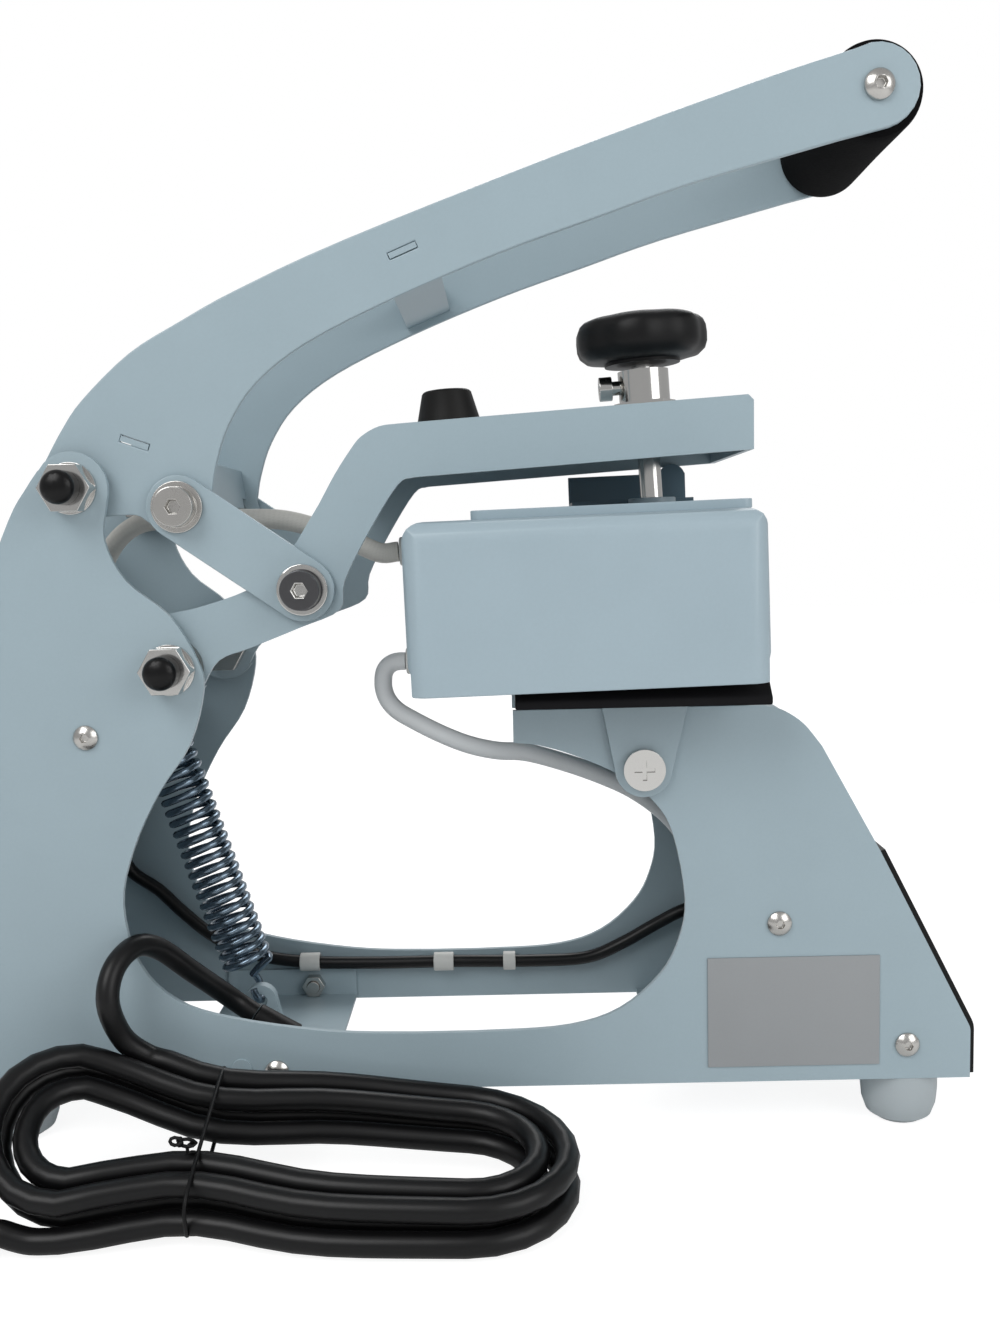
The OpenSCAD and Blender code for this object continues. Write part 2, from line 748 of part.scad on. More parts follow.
module pressure_screw() {
    color(steel) on_screw() translate([0, 0, -screw_below]) cylinder(h = screw_below + screw_top, d = screw_d);
}

knob_hub_d = 27;
knob_hub_z = collar_h + 1.8;
knob_z = knob_hub_z + 1.4;

module pressure_knob() {
    r = knob_d / 2;
    h = knob_h;
    rim = concat(arc([r - h * 0.36, h * 0.36], h * 0.36, -80, 10, 6), arc([r - h * 0.5, h * 0.5], h * 0.5, 20, 88, 6));
    color(black) on_screw() difference() {
        union() {
            translate([0, 0, knob_z]) rotate_extrude() polygon(concat([[0, 0]], rim, [[0, h]]));
            translate([0, 0, knob_hub_z]) cylinder(h = knob_z - knob_hub_z + 3, d = knob_hub_d);
        }
        translate([0, 0, knob_hub_z - through]) cylinder(h = screw_top - knob_hub_z + through + hair,
            d = screw_d + hair);
    }
}

// Heater head
press_x = housing_l / 2 - housing_wall - part_gap - platen_l / 2;
heater_crown_z = housing_h - 19.5;
heater_axis_z = heater_crown_z - heater_r;
housing_r = 7;
heater_half_w = housing_w / 2 - 4;
post_x = 27;
post_y = 44;
post_d = 8;
blanket_l = 98;
blanket_w = 130;

// Children in the head's own frame, from the middle of the housing's lower edge
module on_head() {
    translate([head_at[0], 0, head_at[1]]) rotate([0, -head_tilt, 0]) children();
}

module sheet_yz(points, x0, l) {
    translate([x0, 0, 0]) rotate([90, 0, 90]) linear_extrude(l) polygon(points);
}

function round_rect(w, h, r) = concat(arc([w - r, h - r], r, 0, 90, 6), arc([r - w, h - r], r, 90, 180, 6),
    arc([r - w, r - h], r, 180, 270, 6), arc([w - r, r - h], r, 270, 360, 6));
function round_top(w, h, r) = concat([[-w, -1], [w, -1]], arc([w - r, h - r], r, 0, 90, 6),
    arc([r - w, h - r], r, 90, 180, 6));

module shell_form(l, w, h, r) {
    intersection() {
        linear_extrude(h) polygon(round_rect(l / 2, w / 2, r));
        sheet_yz(round_top(w / 2, h, r), -l, 2 * l);
        sheet_xz(round_top(l / 2, h, r), -w, 2 * w);
    }
}

module heater_housing() {
    wall = housing_wall;
    arch_gap = 1;
    color(paint_light) on_head() difference() {
        shell_form(housing_l, housing_w, housing_h, housing_r);
        translate([0, 0, -0.01]) shell_form(housing_l - 2 * wall, housing_w - 2 * wall, housing_h - wall + 0.01,
            housing_r - wall);
        intersection() {
            translate([-housing_l, 0, heater_axis_z]) rotate([0, 90, 0])
                cylinder(h = 2 * housing_l, r = heater_r + arch_gap, $fn = 96);
            cube([3 * housing_l, 2 * heater_half_w + arch_gap, 2 * housing_h], center = true);
        }
    }
}

// The part of a ring along X that lies above z_cut, within half on each side
module crown_ring(r_out, r_in, axis_z, z_cut, half, x0, l) {
    intersection() {
        translate([x0, 0, axis_z]) rotate([0, 90, 0]) difference() {
            cylinder(h = l, r = r_out, $fn = 96);
            translate([0, 0, -through]) cylinder(h = l + 2 * through, r = r_in, $fn = 96);
        }
        translate([x0 - through, -half, z_cut]) cube([l + 2 * through, 2 * half, r_out]);
    }
}

module heater_platen() {
    r_back = heater_r + heater_t;
    post_z = heater_axis_z + sqrt(r_back * r_back - post_y * post_y) - 2;
    color("#8f9091") on_head() {
        crown_ring(r_back, heater_r, heater_axis_z, 0, heater_half_w, press_x - platen_l / 2, platen_l);
        for (x = [-post_x, post_x], y = [-post_y, post_y]) translate([press_x + x, y, post_z])
            cylinder(h = housing_h - housing_wall - post_z, d = post_d);
    }
}

element_d = 4.6;
element_r = heater_r + heater_t + element_d / 2;
element_x = 14;
element_swing = 30;
element_top_z = heater_axis_z + heater_r + heater_t + element_d;
blanket_t = housing_h - housing_wall - element_top_z - hair;

module heating_element() {
    element_end = 3;
    end_r = element_r + 0.5;
    color(dark_steel) on_head() {
        for (x = [-element_x, element_x]) translate([press_x + x, 0, heater_axis_z])
            rotate([0, 90, 0]) rotate([0, 0, 180 - element_swing])
                rotate_extrude(angle = 2 * element_swing) translate([element_r, 0]) circle(d = element_d, $fn = 16);
        translate([press_x - element_x - element_end, end_r * sin(element_swing),
            heater_axis_z + end_r * cos(element_swing)]) rotate([0, 90, 0])
                cylinder(h = 2 * (element_x + element_end), d = element_d + 1);
    }
}

module insulation_blanket() {
    color("#d9d5c4") on_head() difference() {
        translate([press_x - blanket_l / 2 - 8, -blanket_w / 2, housing_h - housing_wall - blanket_t])
            cube([blanket_l - 8, blanket_w, blanket_t]);
        for (x = [-post_x, post_x], y = [-post_y, post_y])
            translate([press_x + x, y, 0]) cylinder(h = housing_h, d = post_d + 1);
    }
}

module thermal_cutout() {
    color("#b9bbbd") on_head() translate([press_x, 0, element_top_z - element_d])
        cylinder(h = element_d, d = 12);
}

head_cable_z = 45;
head_cable_y = -14;
lower_cable_z = 6;
lower_cable_y = -10;
gland_l = 5;

module head_glands() {
    back_x = -housing_l / 2;
    color(pale_grey) on_head() {
        translate([back_x - gland_l, head_cable_y, head_cable_z]) rotate([0, 90, 0])
            cylinder(h = gland_l, d = head_cable_d + 3);
        translate([back_x - gland_l, lower_cable_y, lower_cable_z]) rotate([0, 90, 0])
            cylinder(h = gland_l, d = lower_cable_d + 3);
    }
}

top_plate_x = [-35, 54];
top_plate_w = 120;
seat_h = 3;
seat_x = 29;

module top_plate() {
    color(paint_light) difference() {
        union() {
            on_head() translate([0, 0, housing_h]) linear_extrude(top_plate_t)
                translate([(top_plate_x[0] + top_plate_x[1]) / 2, 0])
                    polygon(round_rect((top_plate_x[1] - top_plate_x[0]) / 2, top_plate_w / 2, 3));
            on_head() translate([seat_x, 0, housing_h + top_plate_t]) cylinder(h = seat_h, d = screw_d + 9);
        }
        on_screw() translate([0, 0, -2 * screw_below]) cylinder(h = 2 * screw_below - 20, d = screw_d + 2 * run_fit);
    }
}

guide_t = 3;
guide_x = [1, 46];
guide_h = 13;
ear_r = 5;
ear_drop = 1.5;

module guide_bracket() {
    out = arm_in - 0.6;
    top = housing_h + top_plate_t;
    color("#7f909a") on_head() {
        translate([guide_x[0], out - 24, top]) cube([guide_x[1] - guide_x[0], 24, guide_t]);
        translate([guide_x[0], out - guide_t, top]) cube([guide_x[1] - guide_x[0], guide_t, guide_h]);
        translate([guide_x[1] - ear_r, out - guide_t, top + guide_h - ear_drop]) rotate([-90, 0, 0])
            cylinder(h = guide_t, r = ear_r);
    }
}

// Lower platen: pad, saddle and rocking bracket
pad_x = 58.5;
pad_crown_z = 181.8;
pad_axis_z = pad_crown_z - pad_r;
pad_l = platen_l + 2;
saddle_r = pad_r - pad_t;
saddle_t = 5;
rocker_drop = 31.3;
rocker_top_z = pad_crown_z - rocker_drop;
rocker_in = plate_out + 0.4;
rocker_out = rocker_in + rocker_t;

module lower_pad() {
    color("#232225") crown_ring(pad_r, saddle_r, pad_axis_z, rocker_top_z, pad_w / 2, pad_x - pad_l / 2, pad_l);
}

module lower_saddle() {
    rib_t = 4;
    rib_y = plate_out - 5;
    rib_z = pad_axis_z + sqrt(pow(saddle_r - saddle_t, 2) - pow(rib_y, 2)) + 1;
    color("#9a9c9e") {
        crown_ring(saddle_r, saddle_r - saddle_t, pad_axis_z, rocker_top_z, pad_w / 2, pad_x - pad_l / 2, pad_l);
        both_sides() translate([pad_x - pad_l / 2 + 3, rib_y - rib_t / 2, rocker_top_z])
            cube([pad_l - 6, rib_t, rib_z - rocker_top_z]);
    }
}

module rocker_bracket() {
    ear = concat([[47, rocker_top_z - rocker_t], [75.5, rocker_top_z - rocker_t]],
        arc(rocker_pivot, 9.5, -5, -175, 12));
    color("#93a3ac") difference() {
        union() {
            translate([pad_x - pad_l / 2 + 2, -rocker_out, rocker_top_z - rocker_t])
                cube([pad_l - 4, 2 * rocker_out, rocker_t]);
            both_sides() sheet_xz(ear, rocker_in, rocker_t);
        }
        both_sides() bar_y(rocker_pivot, rocker_in - through, rocker_out + through, rocker_screw_d + 2 * run_fit);
    }
}

module rocker_screws() {
    head_d = 13.8;
    head_h = 2.6;
    head_y = rocker_out + hair;
    color(steel) both_sides() {
        bar_y(rocker_pivot, plate_in - 6, head_y, rocker_screw_d);
        out_y(rocker_pivot, head_y) difference() {
            cylinder(h = head_h, d = head_d);
            for (turn = [0, 90]) rotate([0, 0, turn]) translate([-3.4, -0.7, head_h - 1]) cube([6.8, 1.4, 2]);
        }
        out_y(rocker_pivot, plate_in - 5) difference() {
            cylinder(h = 5, d = 13 * flats_to_corners, $fn = 6);
            translate([0, 0, -through]) cylinder(h = 7, d = rocker_screw_d - hair);
        }
    }
}

// Swept tubes: rings square to the path, turned as little as possible
function unit(v) = v / norm(v);
function tangents(p) = let (last = len(p) - 1)
    [for (i = [0:last]) unit(p[min(i + 1, last)] - p[max(i - 1, 0)])];
function ring_normals(p) = let (t = tangents(p), up = abs(t[0][2]) < 0.9 ? [0, 0, 1] : [1, 0, 0])
    [for (i = 0, n = unit(up - (up * t[0]) * t[0]); i < len(p);
        i = i + 1, n = i < len(p) ? unit(n - (n * t[i]) * t[i]) : n) n];

module tube(p, d, sides) {
    t = tangents(p);
    n = ring_normals(p);
    last = len(p) - 1;
    points = [for (i = [0:last], k = [0:sides - 1]) let (a = 360 * k / sides)
        p[i] + d / 2 * (cos(a) * n[i] + sin(a) * cross(t[i], n[i]))];
    walls = [for (i = [0:last - 1], k = [0:sides - 1]) let (m = (k + 1) % sides, a = i * sides, b = a + sides)
        each [[a + k, b + k, b + m], [a + k, b + m, a + m]]];
    caps = [for (k = [1:sides - 2]) each [[0, k, k + 1],
        [last * sides, last * sides + k + 1, last * sides + k]]];
    polyhedron(points, concat(walls, caps), convexity = 8);
}

function nearest(p, skip) = min([for (i = [0:len(p) - 1], j = [i + skip:1:len(p) - 1]) norm(p[i] - p[j])]);

// Return spring from the base lug to the arm's tail pin, both ends hooked
spring_line = tail_pin - lug_hole;
spring_span = norm(spring_line);
spring_low = 14;
spring_high = spring_span - 18;
coil_r = (spring_d - wire_d) / 2;
low_hook_r = 5;
top_hook_r = tail_pin_d / 2 + wire_d / 2 + 0.6;

function on_spring(q) = let (u = [spring_line[0], 0, spring_line[1]] / spring_span, w = [u[2], 0, -u[0]])
    [lug_hole[0], 0, lug_hole[1]] + q[0] * w + q[1] * [0, 1, 0] + q[2] * u;
spring_path = [for (q = concat(
    [for (a = [-100:30:170]) [0, low_hook_r * sin(a), low_hook_r - low_hook_r * cos(a)]],
    [[2.5, 1.5, spring_low - 2.6]],
    [for (i = [0:8 * spring_curls]) let (a = 45 * i)
        [coil_r * cos(a), coil_r * sin(a), spring_low + (spring_high - spring_low) * i / (8 * spring_curls)]],
    [[4, 2.5, spring_high + 2.6], [0.5, 0.5, spring_high + 6]],
    [for (a = [-10:32:280]) [-top_hook_r * sin(a), 0, spring_span - top_hook_r * cos(a)]])) on_spring(q)];

module return_spring() {
    echo(spring_gap = nearest(spring_path, 6) - wire_d);
    color(steel) tube(spring_path, wire_d, 6);
}

// Cables that the press holds, routes chosen by hand
function head_point(x, y, z) = [head_at[0] + x * cos(head_tilt) - z * sin(head_tilt), y,
    head_at[1] + x * sin(head_tilt) + z * cos(head_tilt)];
gland_end_x = -housing_l / 2 - gland_l - 0.4;
gland_way = [-cos(head_tilt), 0, -sin(head_tilt)];
head_exit = head_point(gland_end_x, head_cable_y, head_cable_z);
lower_exit = head_point(gland_end_x, lower_cable_y, lower_cable_z);
junction = [[-150, 31, 95], [-130, plate_in, 120]];
floor_gland = [90, 6];
floor_gland_h = 15;
head_route = [head_exit, head_exit + 7 * gland_way, [-39, -13.5, 205], [-50, -13, 209], [-62, -12, 212],
    [-76, -12, 212.6], [-90, -12, 212.4], [-104, -12, 213], [-114, -11, 211], [-123, -8, 204], [-131, 0, 192],
    [-137, 11, 177], [-140, 22, 160], [-140, 31, 143], [-140, 35, 130], [-140, 35, 120]];
lower_route = [lower_exit, lower_exit + 2 * gland_way, [-24.3, -10, 160.5], [-26.3, -10, 159.2],
    [-27.6, -10, 157.2], [-28.1, -10, 154.5], [-28, -10, 151], [-26.6, -10.5, 147.2], [-23.4, -11.5, 143.6],
    [-18, -12, 140.2], [-8, -13, 135], [2, -14, 131], [12, -15, 128.8], [22, -15, 128], [34, -14, 124.5],
    [48, -12, 119], [61, -8, 112], [73, -3, 102], [82, 2, 90], [88, 5, 76], [90, 6, 62], [90, 6, 48],
    [90, 6, base_z + cover_t + floor_gland_h]];
lead_y = plate_in - inner_lead_d / 2 - 1.4;
lead_route = [[-140, 37, 95], [-140, 37, 84], [-136, 38, 74], [-126, lead_y, 66], [-116, lead_y, 56],
    [-104, lead_y, 46], [-88, lead_y, 38.5], [-68, lead_y, 35], [-40, lead_y, 34], [-9, lead_y, 34],
    [25, lead_y, 33.5], [46, lead_y, 34.5], [60, lead_y, 40], [72, lead_y - 1, 47], [82, lead_y - 3, 53],
    [92, 36, 57]];

module head_cable() {
    color(beige) tube(curve(head_route, 3), head_cable_d, 10);
}

module lower_cable() {
    color(pale_grey) tube(curve(lower_route, 3), lower_cable_d, 10);
}

module inner_lead() {
    color(black) tube(curve(lead_route, 2), inner_lead_d, 8);
}

// Sleeves on the straight run of the lead: middle, height and length
sleeves = [[-66, 34.9, 8], [-12, 34, 8], [14.5, 33.8, 5]];

module lead_sleeves() {
    terminal = [12, 8, 10];
    sleeve_d = inner_lead_d + 2.4;
    color(pale_grey) {
        for (s = sleeves) translate([s[0] - s[2] / 2, lead_y, s[1]]) rotate([0, 90, 0]) difference() {
            cylinder(h = s[2], d = sleeve_d);
            translate([0, 0, -through]) cylinder(h = s[2] + 2 * through, d = inner_lead_d);
        }
        translate([92, plate_in - cover_t - terminal[1], 52]) cube(terminal);
    }
}

module cable_glands() {
    color(pale_grey) {
        translate(junction[0]) cube(junction[1] - junction[0]);
        translate([floor_gland[0], floor_gland[1], base_z + cover_t]) cylinder(h = floor_gland_h, d = lower_cable_d + 5);
    }
    color(black) {
        translate([-68, -28, base_z + 1 + cover_t]) cube([13, 16, 6]);
        translate(nozzle_at) rotate([0, -nozzle_tilt, 0]) cylinder(h = nozzle_l, d1 = mains_d + 5, d2 = mains_d + 1.5);
    }
}

// Mains cord: up from the base, out over the near rail and down to the tied hank
nozzle_tilt = 53;
nozzle_l = 16;
nozzle_at = [-64, -20, 26];
cord_exit = nozzle_at + (nozzle_l + part_gap) * [-sin(nozzle_tilt), 0, cos(nozzle_tilt)];
hank_centre_x = -58;
hank_run = 59;
hank_inner_r = 17;
hank_step = mains_d + 1.6;
hank_turns = hank_loops + 0.75;
waist_x = -22;
waist_in = 8;
waist_l = 26;
lean_left = 38;
lean_left_x = -140;
lean_fade = 75;
hank_front_y = -114;
hank_skew = 0.06;
hank_outer = hank_inner_r + hank_step * hank_turns / 2;

// The hank leans on the base at its left end and lies almost flat at its right end
function lean_at(x) = lean_left * exp((lean_left_x - hank_centre_x - x) / lean_fade);

// Place on the leaning hank: along X, across its face, and off its face
function hank_point(x, v, w) = let (lean = lean_at(x))
    [hank_centre_x + x, hank_front_y - hank_skew * (x + hank_run) + v * cos(lean) - w * sin(lean),
        mains_d / 2 + 0.2 + v * sin(lean) + w * cos(lean)];
function hank_loop_point(t) = let (u = t - floor(t), r = hank_inner_r + hank_step * (hank_turns / 2 - min(t, hank_turns - t)),
    draw = function (x) waist_in * exp(-pow((x - waist_x) / waist_l, 2)),
    q = u < 0.25 ? let (x = hank_run * (8 * u - 1)) [x, r - draw(x)]
        : u < 0.5 ? let (a = 90 - 720 * (u - 0.25)) [hank_run + r * cos(a), r * sin(a)]
        : u < 0.75 ? let (x = hank_run * (1 - 8 * (u - 0.5))) [x, draw(x) - r]
        : let (a = 270 - 720 * (u - 0.75)) [r * cos(a) - hank_run, r * sin(a)],
    layer = t < hank_turns / 2 - 0.25 ? 1 : t > hank_turns / 2 + 0.25 ? 0 : 0.5 - 2 * (t - hank_turns / 2))
    hank_point(q[0], q[1] + hank_outer, layer * hank_step);
hank_rings = 24 * hank_turns;
hank_body = [for (i = [1:hank_rings]) hank_loop_point(min(i / 24, hank_turns - 0.0001))];
hank_start = hank_body[0] - mains_d * unit(hank_body[1] - hank_body[0]);
hank_end = hank_body[len(hank_body) - 1] - [mains_d, 0, 0];
hank_path = concat([hank_start], hank_body, [hank_end]);

cord_route = [cord_exit, cord_exit + [-6.4, 0, 4.8], [-89, -24, 47], [-96, -34, 57.5], [-104, -42.5, 68],
    [-109.5, -51, 71.5], [-114, -60, 67], [-115, -64.5, 57], [-111.5, -62, 44.5]];
plug_x = hank_end[0] - 12;
plug_y = hank_end[1];
plug_z = 7.5;
tail_route = [hank_end, hank_end + [-5, 0, 1.2], [plug_x + 3, plug_y, plug_z - 0.4], [plug_x, plug_y, plug_z]];

module mains_cord() {
    color(black) {
        tube(concat(curve(cord_route, 3), [hank_start]), mains_d, 8);
        tube(tail_route, mains_d, 8);
    }
}

module mains_hank() {
    echo(hank_gap = nearest(hank_path, 12) - mains_d);
    echo(hank_start = hank_start, hank_end = hank_end, outer = hank_outer);
    color(black) tube(hank_path, mains_d, 6);
}

module hank_tie() {
    width = 3;
    wall = 0.8;
    slack = mains_d / 2 + 0.2;
    low = hank_point(waist_x, 0, 0);
    span_v = [waist_in - slack, 2 * hank_outer - waist_in + slack];
    span_w = [-slack, hank_step + slack];
    half = [(span_v[1] - span_v[0]) / 2, (span_w[1] - span_w[0]) / 2];
    color("#2a2a2c") translate([low[0] - width / 2, low[1], low[2]]) rotate([lean_at(waist_x), 0, 0])
        translate([0, span_v[0] + half[0], span_w[0] + half[1]]) difference() {
            sheet_yz(round_rect(half[0] + wall, half[1] + wall, 5), 0, width);
            sheet_yz(round_rect(half[0], half[1], 4), -through, width + 2 * through);
        }
}

module mains_plug() {
    relief_l = 22;
    body = [25, 23, 14.6];
    blade = [16, 1.5, 6.4];
    color(black) translate([plug_x, plug_y, plug_z]) {
        rotate([0, -90, 0]) cylinder(h = relief_l, d1 = mains_d + 2, d2 = 13);
        translate([-relief_l - body[0], 0, 0]) rotate([90, 0, 90]) linear_extrude(body[0])
            polygon(round_rect(body[1] / 2, body[2] / 2, 4));
    }
    color(steel) for (y = [-6.35, 6.35])
        translate([plug_x - relief_l - body[0] - blade[0], plug_y + y - blade[1] / 2, plug_z - blade[2] / 2]) cube(blade);
}

left_side_plate();
right_side_plate();
rear_cover();
front_cover();
base_cross_plate();
pedestal_floor();
control_fascia();
display_window();
circuit_board();
label_plate();
base_feet();
frame_screws();
pivot_bolts();
pivot_nuts();
pivot_caps();
rocker_screws();
cable_glands();
inner_lead();
lead_sleeves();
mains_cord();
mains_hank();
hank_tie();
mains_plug();
return_spring();
head_cable();
lower_cable();
power_button();
set_button();
up_button();
down_button();
handle_bushes();
arm_bushes();
link_bushes();
left_handle_plate();
right_handle_plate();
handle_rear_bridge();
handle_front_bridge();
grip_sleeve();
grip_bar();
grip_screws();
handle_link_bolts();
toggle_links();
arm_link_bolts();
upper_arm();
rubber_bumper();
collar_nut();
lock_screw();
top_plate();
guide_bracket();
heater_housing();
heater_platen();
heating_element();
insulation_blanket();
thermal_cutout();
head_glands();
pressure_knob();
pressure_screw();
lower_pad();
lower_saddle();
rocker_bracket();
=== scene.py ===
"""Cap heat press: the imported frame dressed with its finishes, cords, spring and studio.

Sizes are in metres in the part's own frame: X runs from the rear column to the control panel,
Y across the frame away from the label plate, and Z up from the table. The cords, cables and
spring follow the solids' own formulas, so their classes count in millimetres up to the end.
"""

from __future__ import annotations

import json
import logging
import math
from dataclasses import dataclass, field
from enum import Enum
from typing import Callable, Sequence

import bpy
from mathutils import Matrix, Vector

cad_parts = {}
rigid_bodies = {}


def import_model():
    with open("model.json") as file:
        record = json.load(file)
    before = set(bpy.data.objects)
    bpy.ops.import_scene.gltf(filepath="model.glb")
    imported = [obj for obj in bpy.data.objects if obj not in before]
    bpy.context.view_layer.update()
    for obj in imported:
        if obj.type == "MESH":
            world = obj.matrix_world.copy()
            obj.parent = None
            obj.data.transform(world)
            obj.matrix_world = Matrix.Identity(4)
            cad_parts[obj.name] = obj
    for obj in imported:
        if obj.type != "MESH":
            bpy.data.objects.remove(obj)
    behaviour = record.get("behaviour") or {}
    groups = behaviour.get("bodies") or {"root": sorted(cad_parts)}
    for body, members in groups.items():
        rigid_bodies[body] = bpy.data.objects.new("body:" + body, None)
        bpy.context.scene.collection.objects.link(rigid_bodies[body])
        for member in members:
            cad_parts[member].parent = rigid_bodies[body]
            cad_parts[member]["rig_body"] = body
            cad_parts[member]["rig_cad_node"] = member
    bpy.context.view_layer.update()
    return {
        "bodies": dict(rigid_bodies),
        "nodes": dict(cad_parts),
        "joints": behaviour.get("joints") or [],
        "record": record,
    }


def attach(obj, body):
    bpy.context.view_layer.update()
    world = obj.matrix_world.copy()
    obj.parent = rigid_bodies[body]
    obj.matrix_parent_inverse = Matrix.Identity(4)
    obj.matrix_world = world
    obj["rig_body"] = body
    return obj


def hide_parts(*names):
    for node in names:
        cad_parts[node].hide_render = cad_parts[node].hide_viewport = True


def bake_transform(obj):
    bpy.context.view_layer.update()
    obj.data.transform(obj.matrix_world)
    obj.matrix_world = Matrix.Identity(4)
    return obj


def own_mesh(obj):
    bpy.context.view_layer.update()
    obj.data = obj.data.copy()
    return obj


LOG = logging.getLogger("cap_press")
MM = 0.001
WELD = 0.000002
Point = tuple[float, float, float]
Colour = tuple[float, float, float]
Piece = bpy.types.Object
Tree = bpy.types.NodeTree
Socket = bpy.types.NodeSocket


def srgb(red: int, green: int, blue: int) -> Colour:
    """Turn a colour written from 0 to 255 into linear light."""
    def one(value: int) -> float:
        """Return one channel in linear light."""
        share = value / 255
        return share / 12.92 if share <= 0.04045 else ((share + 0.055) / 1.055) ** 2.4

    return (one(red), one(green), one(blue))


class Surface(Enum):
    """Kinds of surface, each a shader node group."""

    POWDER_COAT = "powder coat"
    MOULDED = "moulded skin"
    FOAM = "foam skin"
    TURNED = "turned metal"
    CAST = "cast metal"
    BRAID = "braided sleeve"
    FIBRE = "needled fibre"


@dataclass(frozen=True)
class Finish:
    """One finish of the press.

    Attributes:
        name: Name of the material.
        slot: Material slot of the record; not used by the script.
        colour: Base colour in linear light.
        surface: Kind of surface.
        roughness: Middle roughness.
        metallic: Share of metal.
        grain: Size of the surface pattern, in metres.
        relief: Height of the bump, in metres.
        shift: How far colour and roughness wander.
        coat: Weight of a clear coat.
        clear: Share of light that passes through.
        shine: Level of the plain reflection, 0.5 for common plastics.
    """

    name: str
    slot: str
    colour: Colour
    surface: Surface
    roughness: float
    metallic: float = 0.0
    grain: float = 0.0008
    relief: float = 0.00002
    shift: float = 0.06
    coat: float = 0.0
    clear: float = 0.0
    shine: float = 0.5


FRAME_PAINT = Finish(
    "pale_blue_powder_coat", "frame_paint", srgb(152, 170, 178), Surface.POWDER_COAT,
    0.42, grain=0.0011, relief=0.000018, shift=0.05, coat=0.12)
# Painted light: the head's own paint slot, its colour set a little lighter than the frame paint because
# the housing stands in more light than the side plates.
HEAD_PAINT_LIT = Finish(
    "head_powder_coat", "head_paint", srgb(156, 174, 183), Surface.POWDER_COAT,
    0.40, grain=0.0011, relief=0.000018, shift=0.05, coat=0.15)
# Painted shade: the frame paint darkened for the guide bracket, which stands in shade under the arm.
BRACKET_PAINT_SHADED = Finish(
    "guide_bracket_coat", "frame_paint", srgb(84, 110, 124), Surface.POWDER_COAT,
    0.42, grain=0.001, relief=0.000018, shift=0.05, coat=0.1)
ZINC = Finish(
    "zinc_plated_steel", "zinc_steel", srgb(196, 194, 190), Surface.TURNED, 0.26,
    metallic=1.0, grain=0.0006, relief=0.000006, shift=0.09)
CHROME = Finish(
    "bright_chrome", "zinc_steel", srgb(206, 205, 202), Surface.TURNED, 0.14,
    metallic=1.0, grain=0.0005, relief=0.000004, shift=0.05)
DARK_STEEL = Finish(
    "blackened_steel", "dark_steel", srgb(92, 92, 94), Surface.TURNED, 0.3,
    metallic=1.0, grain=0.0006, relief=0.000006, shift=0.1)
SPRING_STEEL = Finish(
    "blued_spring_wire", "zinc_steel", srgb(118, 134, 148), Surface.TURNED, 0.24,
    metallic=0.9, grain=0.001, relief=0.000004, shift=0.1)
FOAM_BLACK = Finish(
    "black_foam_grip", "grip_foam", srgb(15, 15, 16), Surface.FOAM, 0.9,
    grain=0.0009, relief=0.00012, shift=0.2, shine=0.06)
BUMPER_RUBBER = Finish(
    "bumper_rubber", "bumper_rubber", srgb(26, 25, 24), Surface.MOULDED, 0.5,
    grain=0.0006, relief=0.00001, shift=0.12, shine=0.22)
BLACK_PLASTIC = Finish(
    "black_plastic", "black_plastic", srgb(14, 14, 15), Surface.MOULDED, 0.42,
    grain=0.0005, relief=0.000012, shift=0.1, shine=0.22)
CAP_GLOSS = Finish(
    "glossy_cap", "black_plastic", srgb(9, 9, 10), Surface.MOULDED, 0.3,
    grain=0.0006, relief=0.000004, shift=0.05, shine=0.25)
FOOT_PLASTIC = Finish(
    "pale_foot_plastic", "pale_plastic", srgb(196, 206, 210), Surface.MOULDED, 0.36,
    grain=0.0007, relief=0.00001, shift=0.05, clear=0.35)
PALE_PLASTIC = Finish(
    "pale_grey_plastic", "pale_plastic", srgb(196, 197, 194), Surface.MOULDED, 0.44,
    grain=0.0006, relief=0.00001, shift=0.05)
SILICONE = Finish(
    "dark_silicone_pad", "silicone_pad", srgb(20, 20, 22), Surface.MOULDED, 0.66,
    grain=0.0007, relief=0.000018, shift=0.14, shine=0.1)
ALUMINIUM = Finish(
    "cast_aluminium", "cast_aluminium", srgb(168, 169, 171), Surface.CAST, 0.42,
    metallic=1.0, grain=0.0012, relief=0.00003, shift=0.12)
HEAD_SLEEVE = Finish(
    "beige_cable_sleeve", "cable_sleeve", srgb(198, 196, 190), Surface.BRAID, 0.62,
    grain=0.0011, relief=0.00009, shift=0.12)
GREY_JACKET = Finish(
    "grey_cable_jacket", "cable_grey", srgb(206, 210, 212), Surface.MOULDED, 0.46,
    grain=0.0008, relief=0.000015, shift=0.06)
BLACK_JACKET = Finish(
    "black_cord_jacket", "cord_rubber", srgb(13, 13, 14), Surface.MOULDED, 0.36,
    grain=0.0007, relief=0.00002, shift=0.12, shine=0.3)
BOARD = Finish(
    "solder_mask", "board_green", srgb(44, 92, 66), Surface.MOULDED, 0.35,
    grain=0.0006, relief=0.00001, shift=0.1)
BLANKET = Finish(
    "fibre_blanket", "blanket_fibre", srgb(214, 207, 186), Surface.FIBRE, 0.95,
    grain=0.0007, relief=0.00018, shift=0.16)
LENS = Finish(
    "smoked_lens", "lens_smoke", srgb(20, 23, 26), Surface.MOULDED, 0.12,
    grain=0.001, relief=0.000002, shift=0.03, coat=0.8)
FOIL = Finish(
    "bare_label_foil", "label_foil", srgb(158, 161, 163), Surface.TURNED, 0.44,
    metallic=0.7, grain=0.0009, relief=0.000004, shift=0.06)
BRONZE = Finish(
    "sintered_bush", "bush_bronze", srgb(140, 138, 134), Surface.CAST, 0.4,
    metallic=1.0, grain=0.0008, relief=0.00001, shift=0.1)


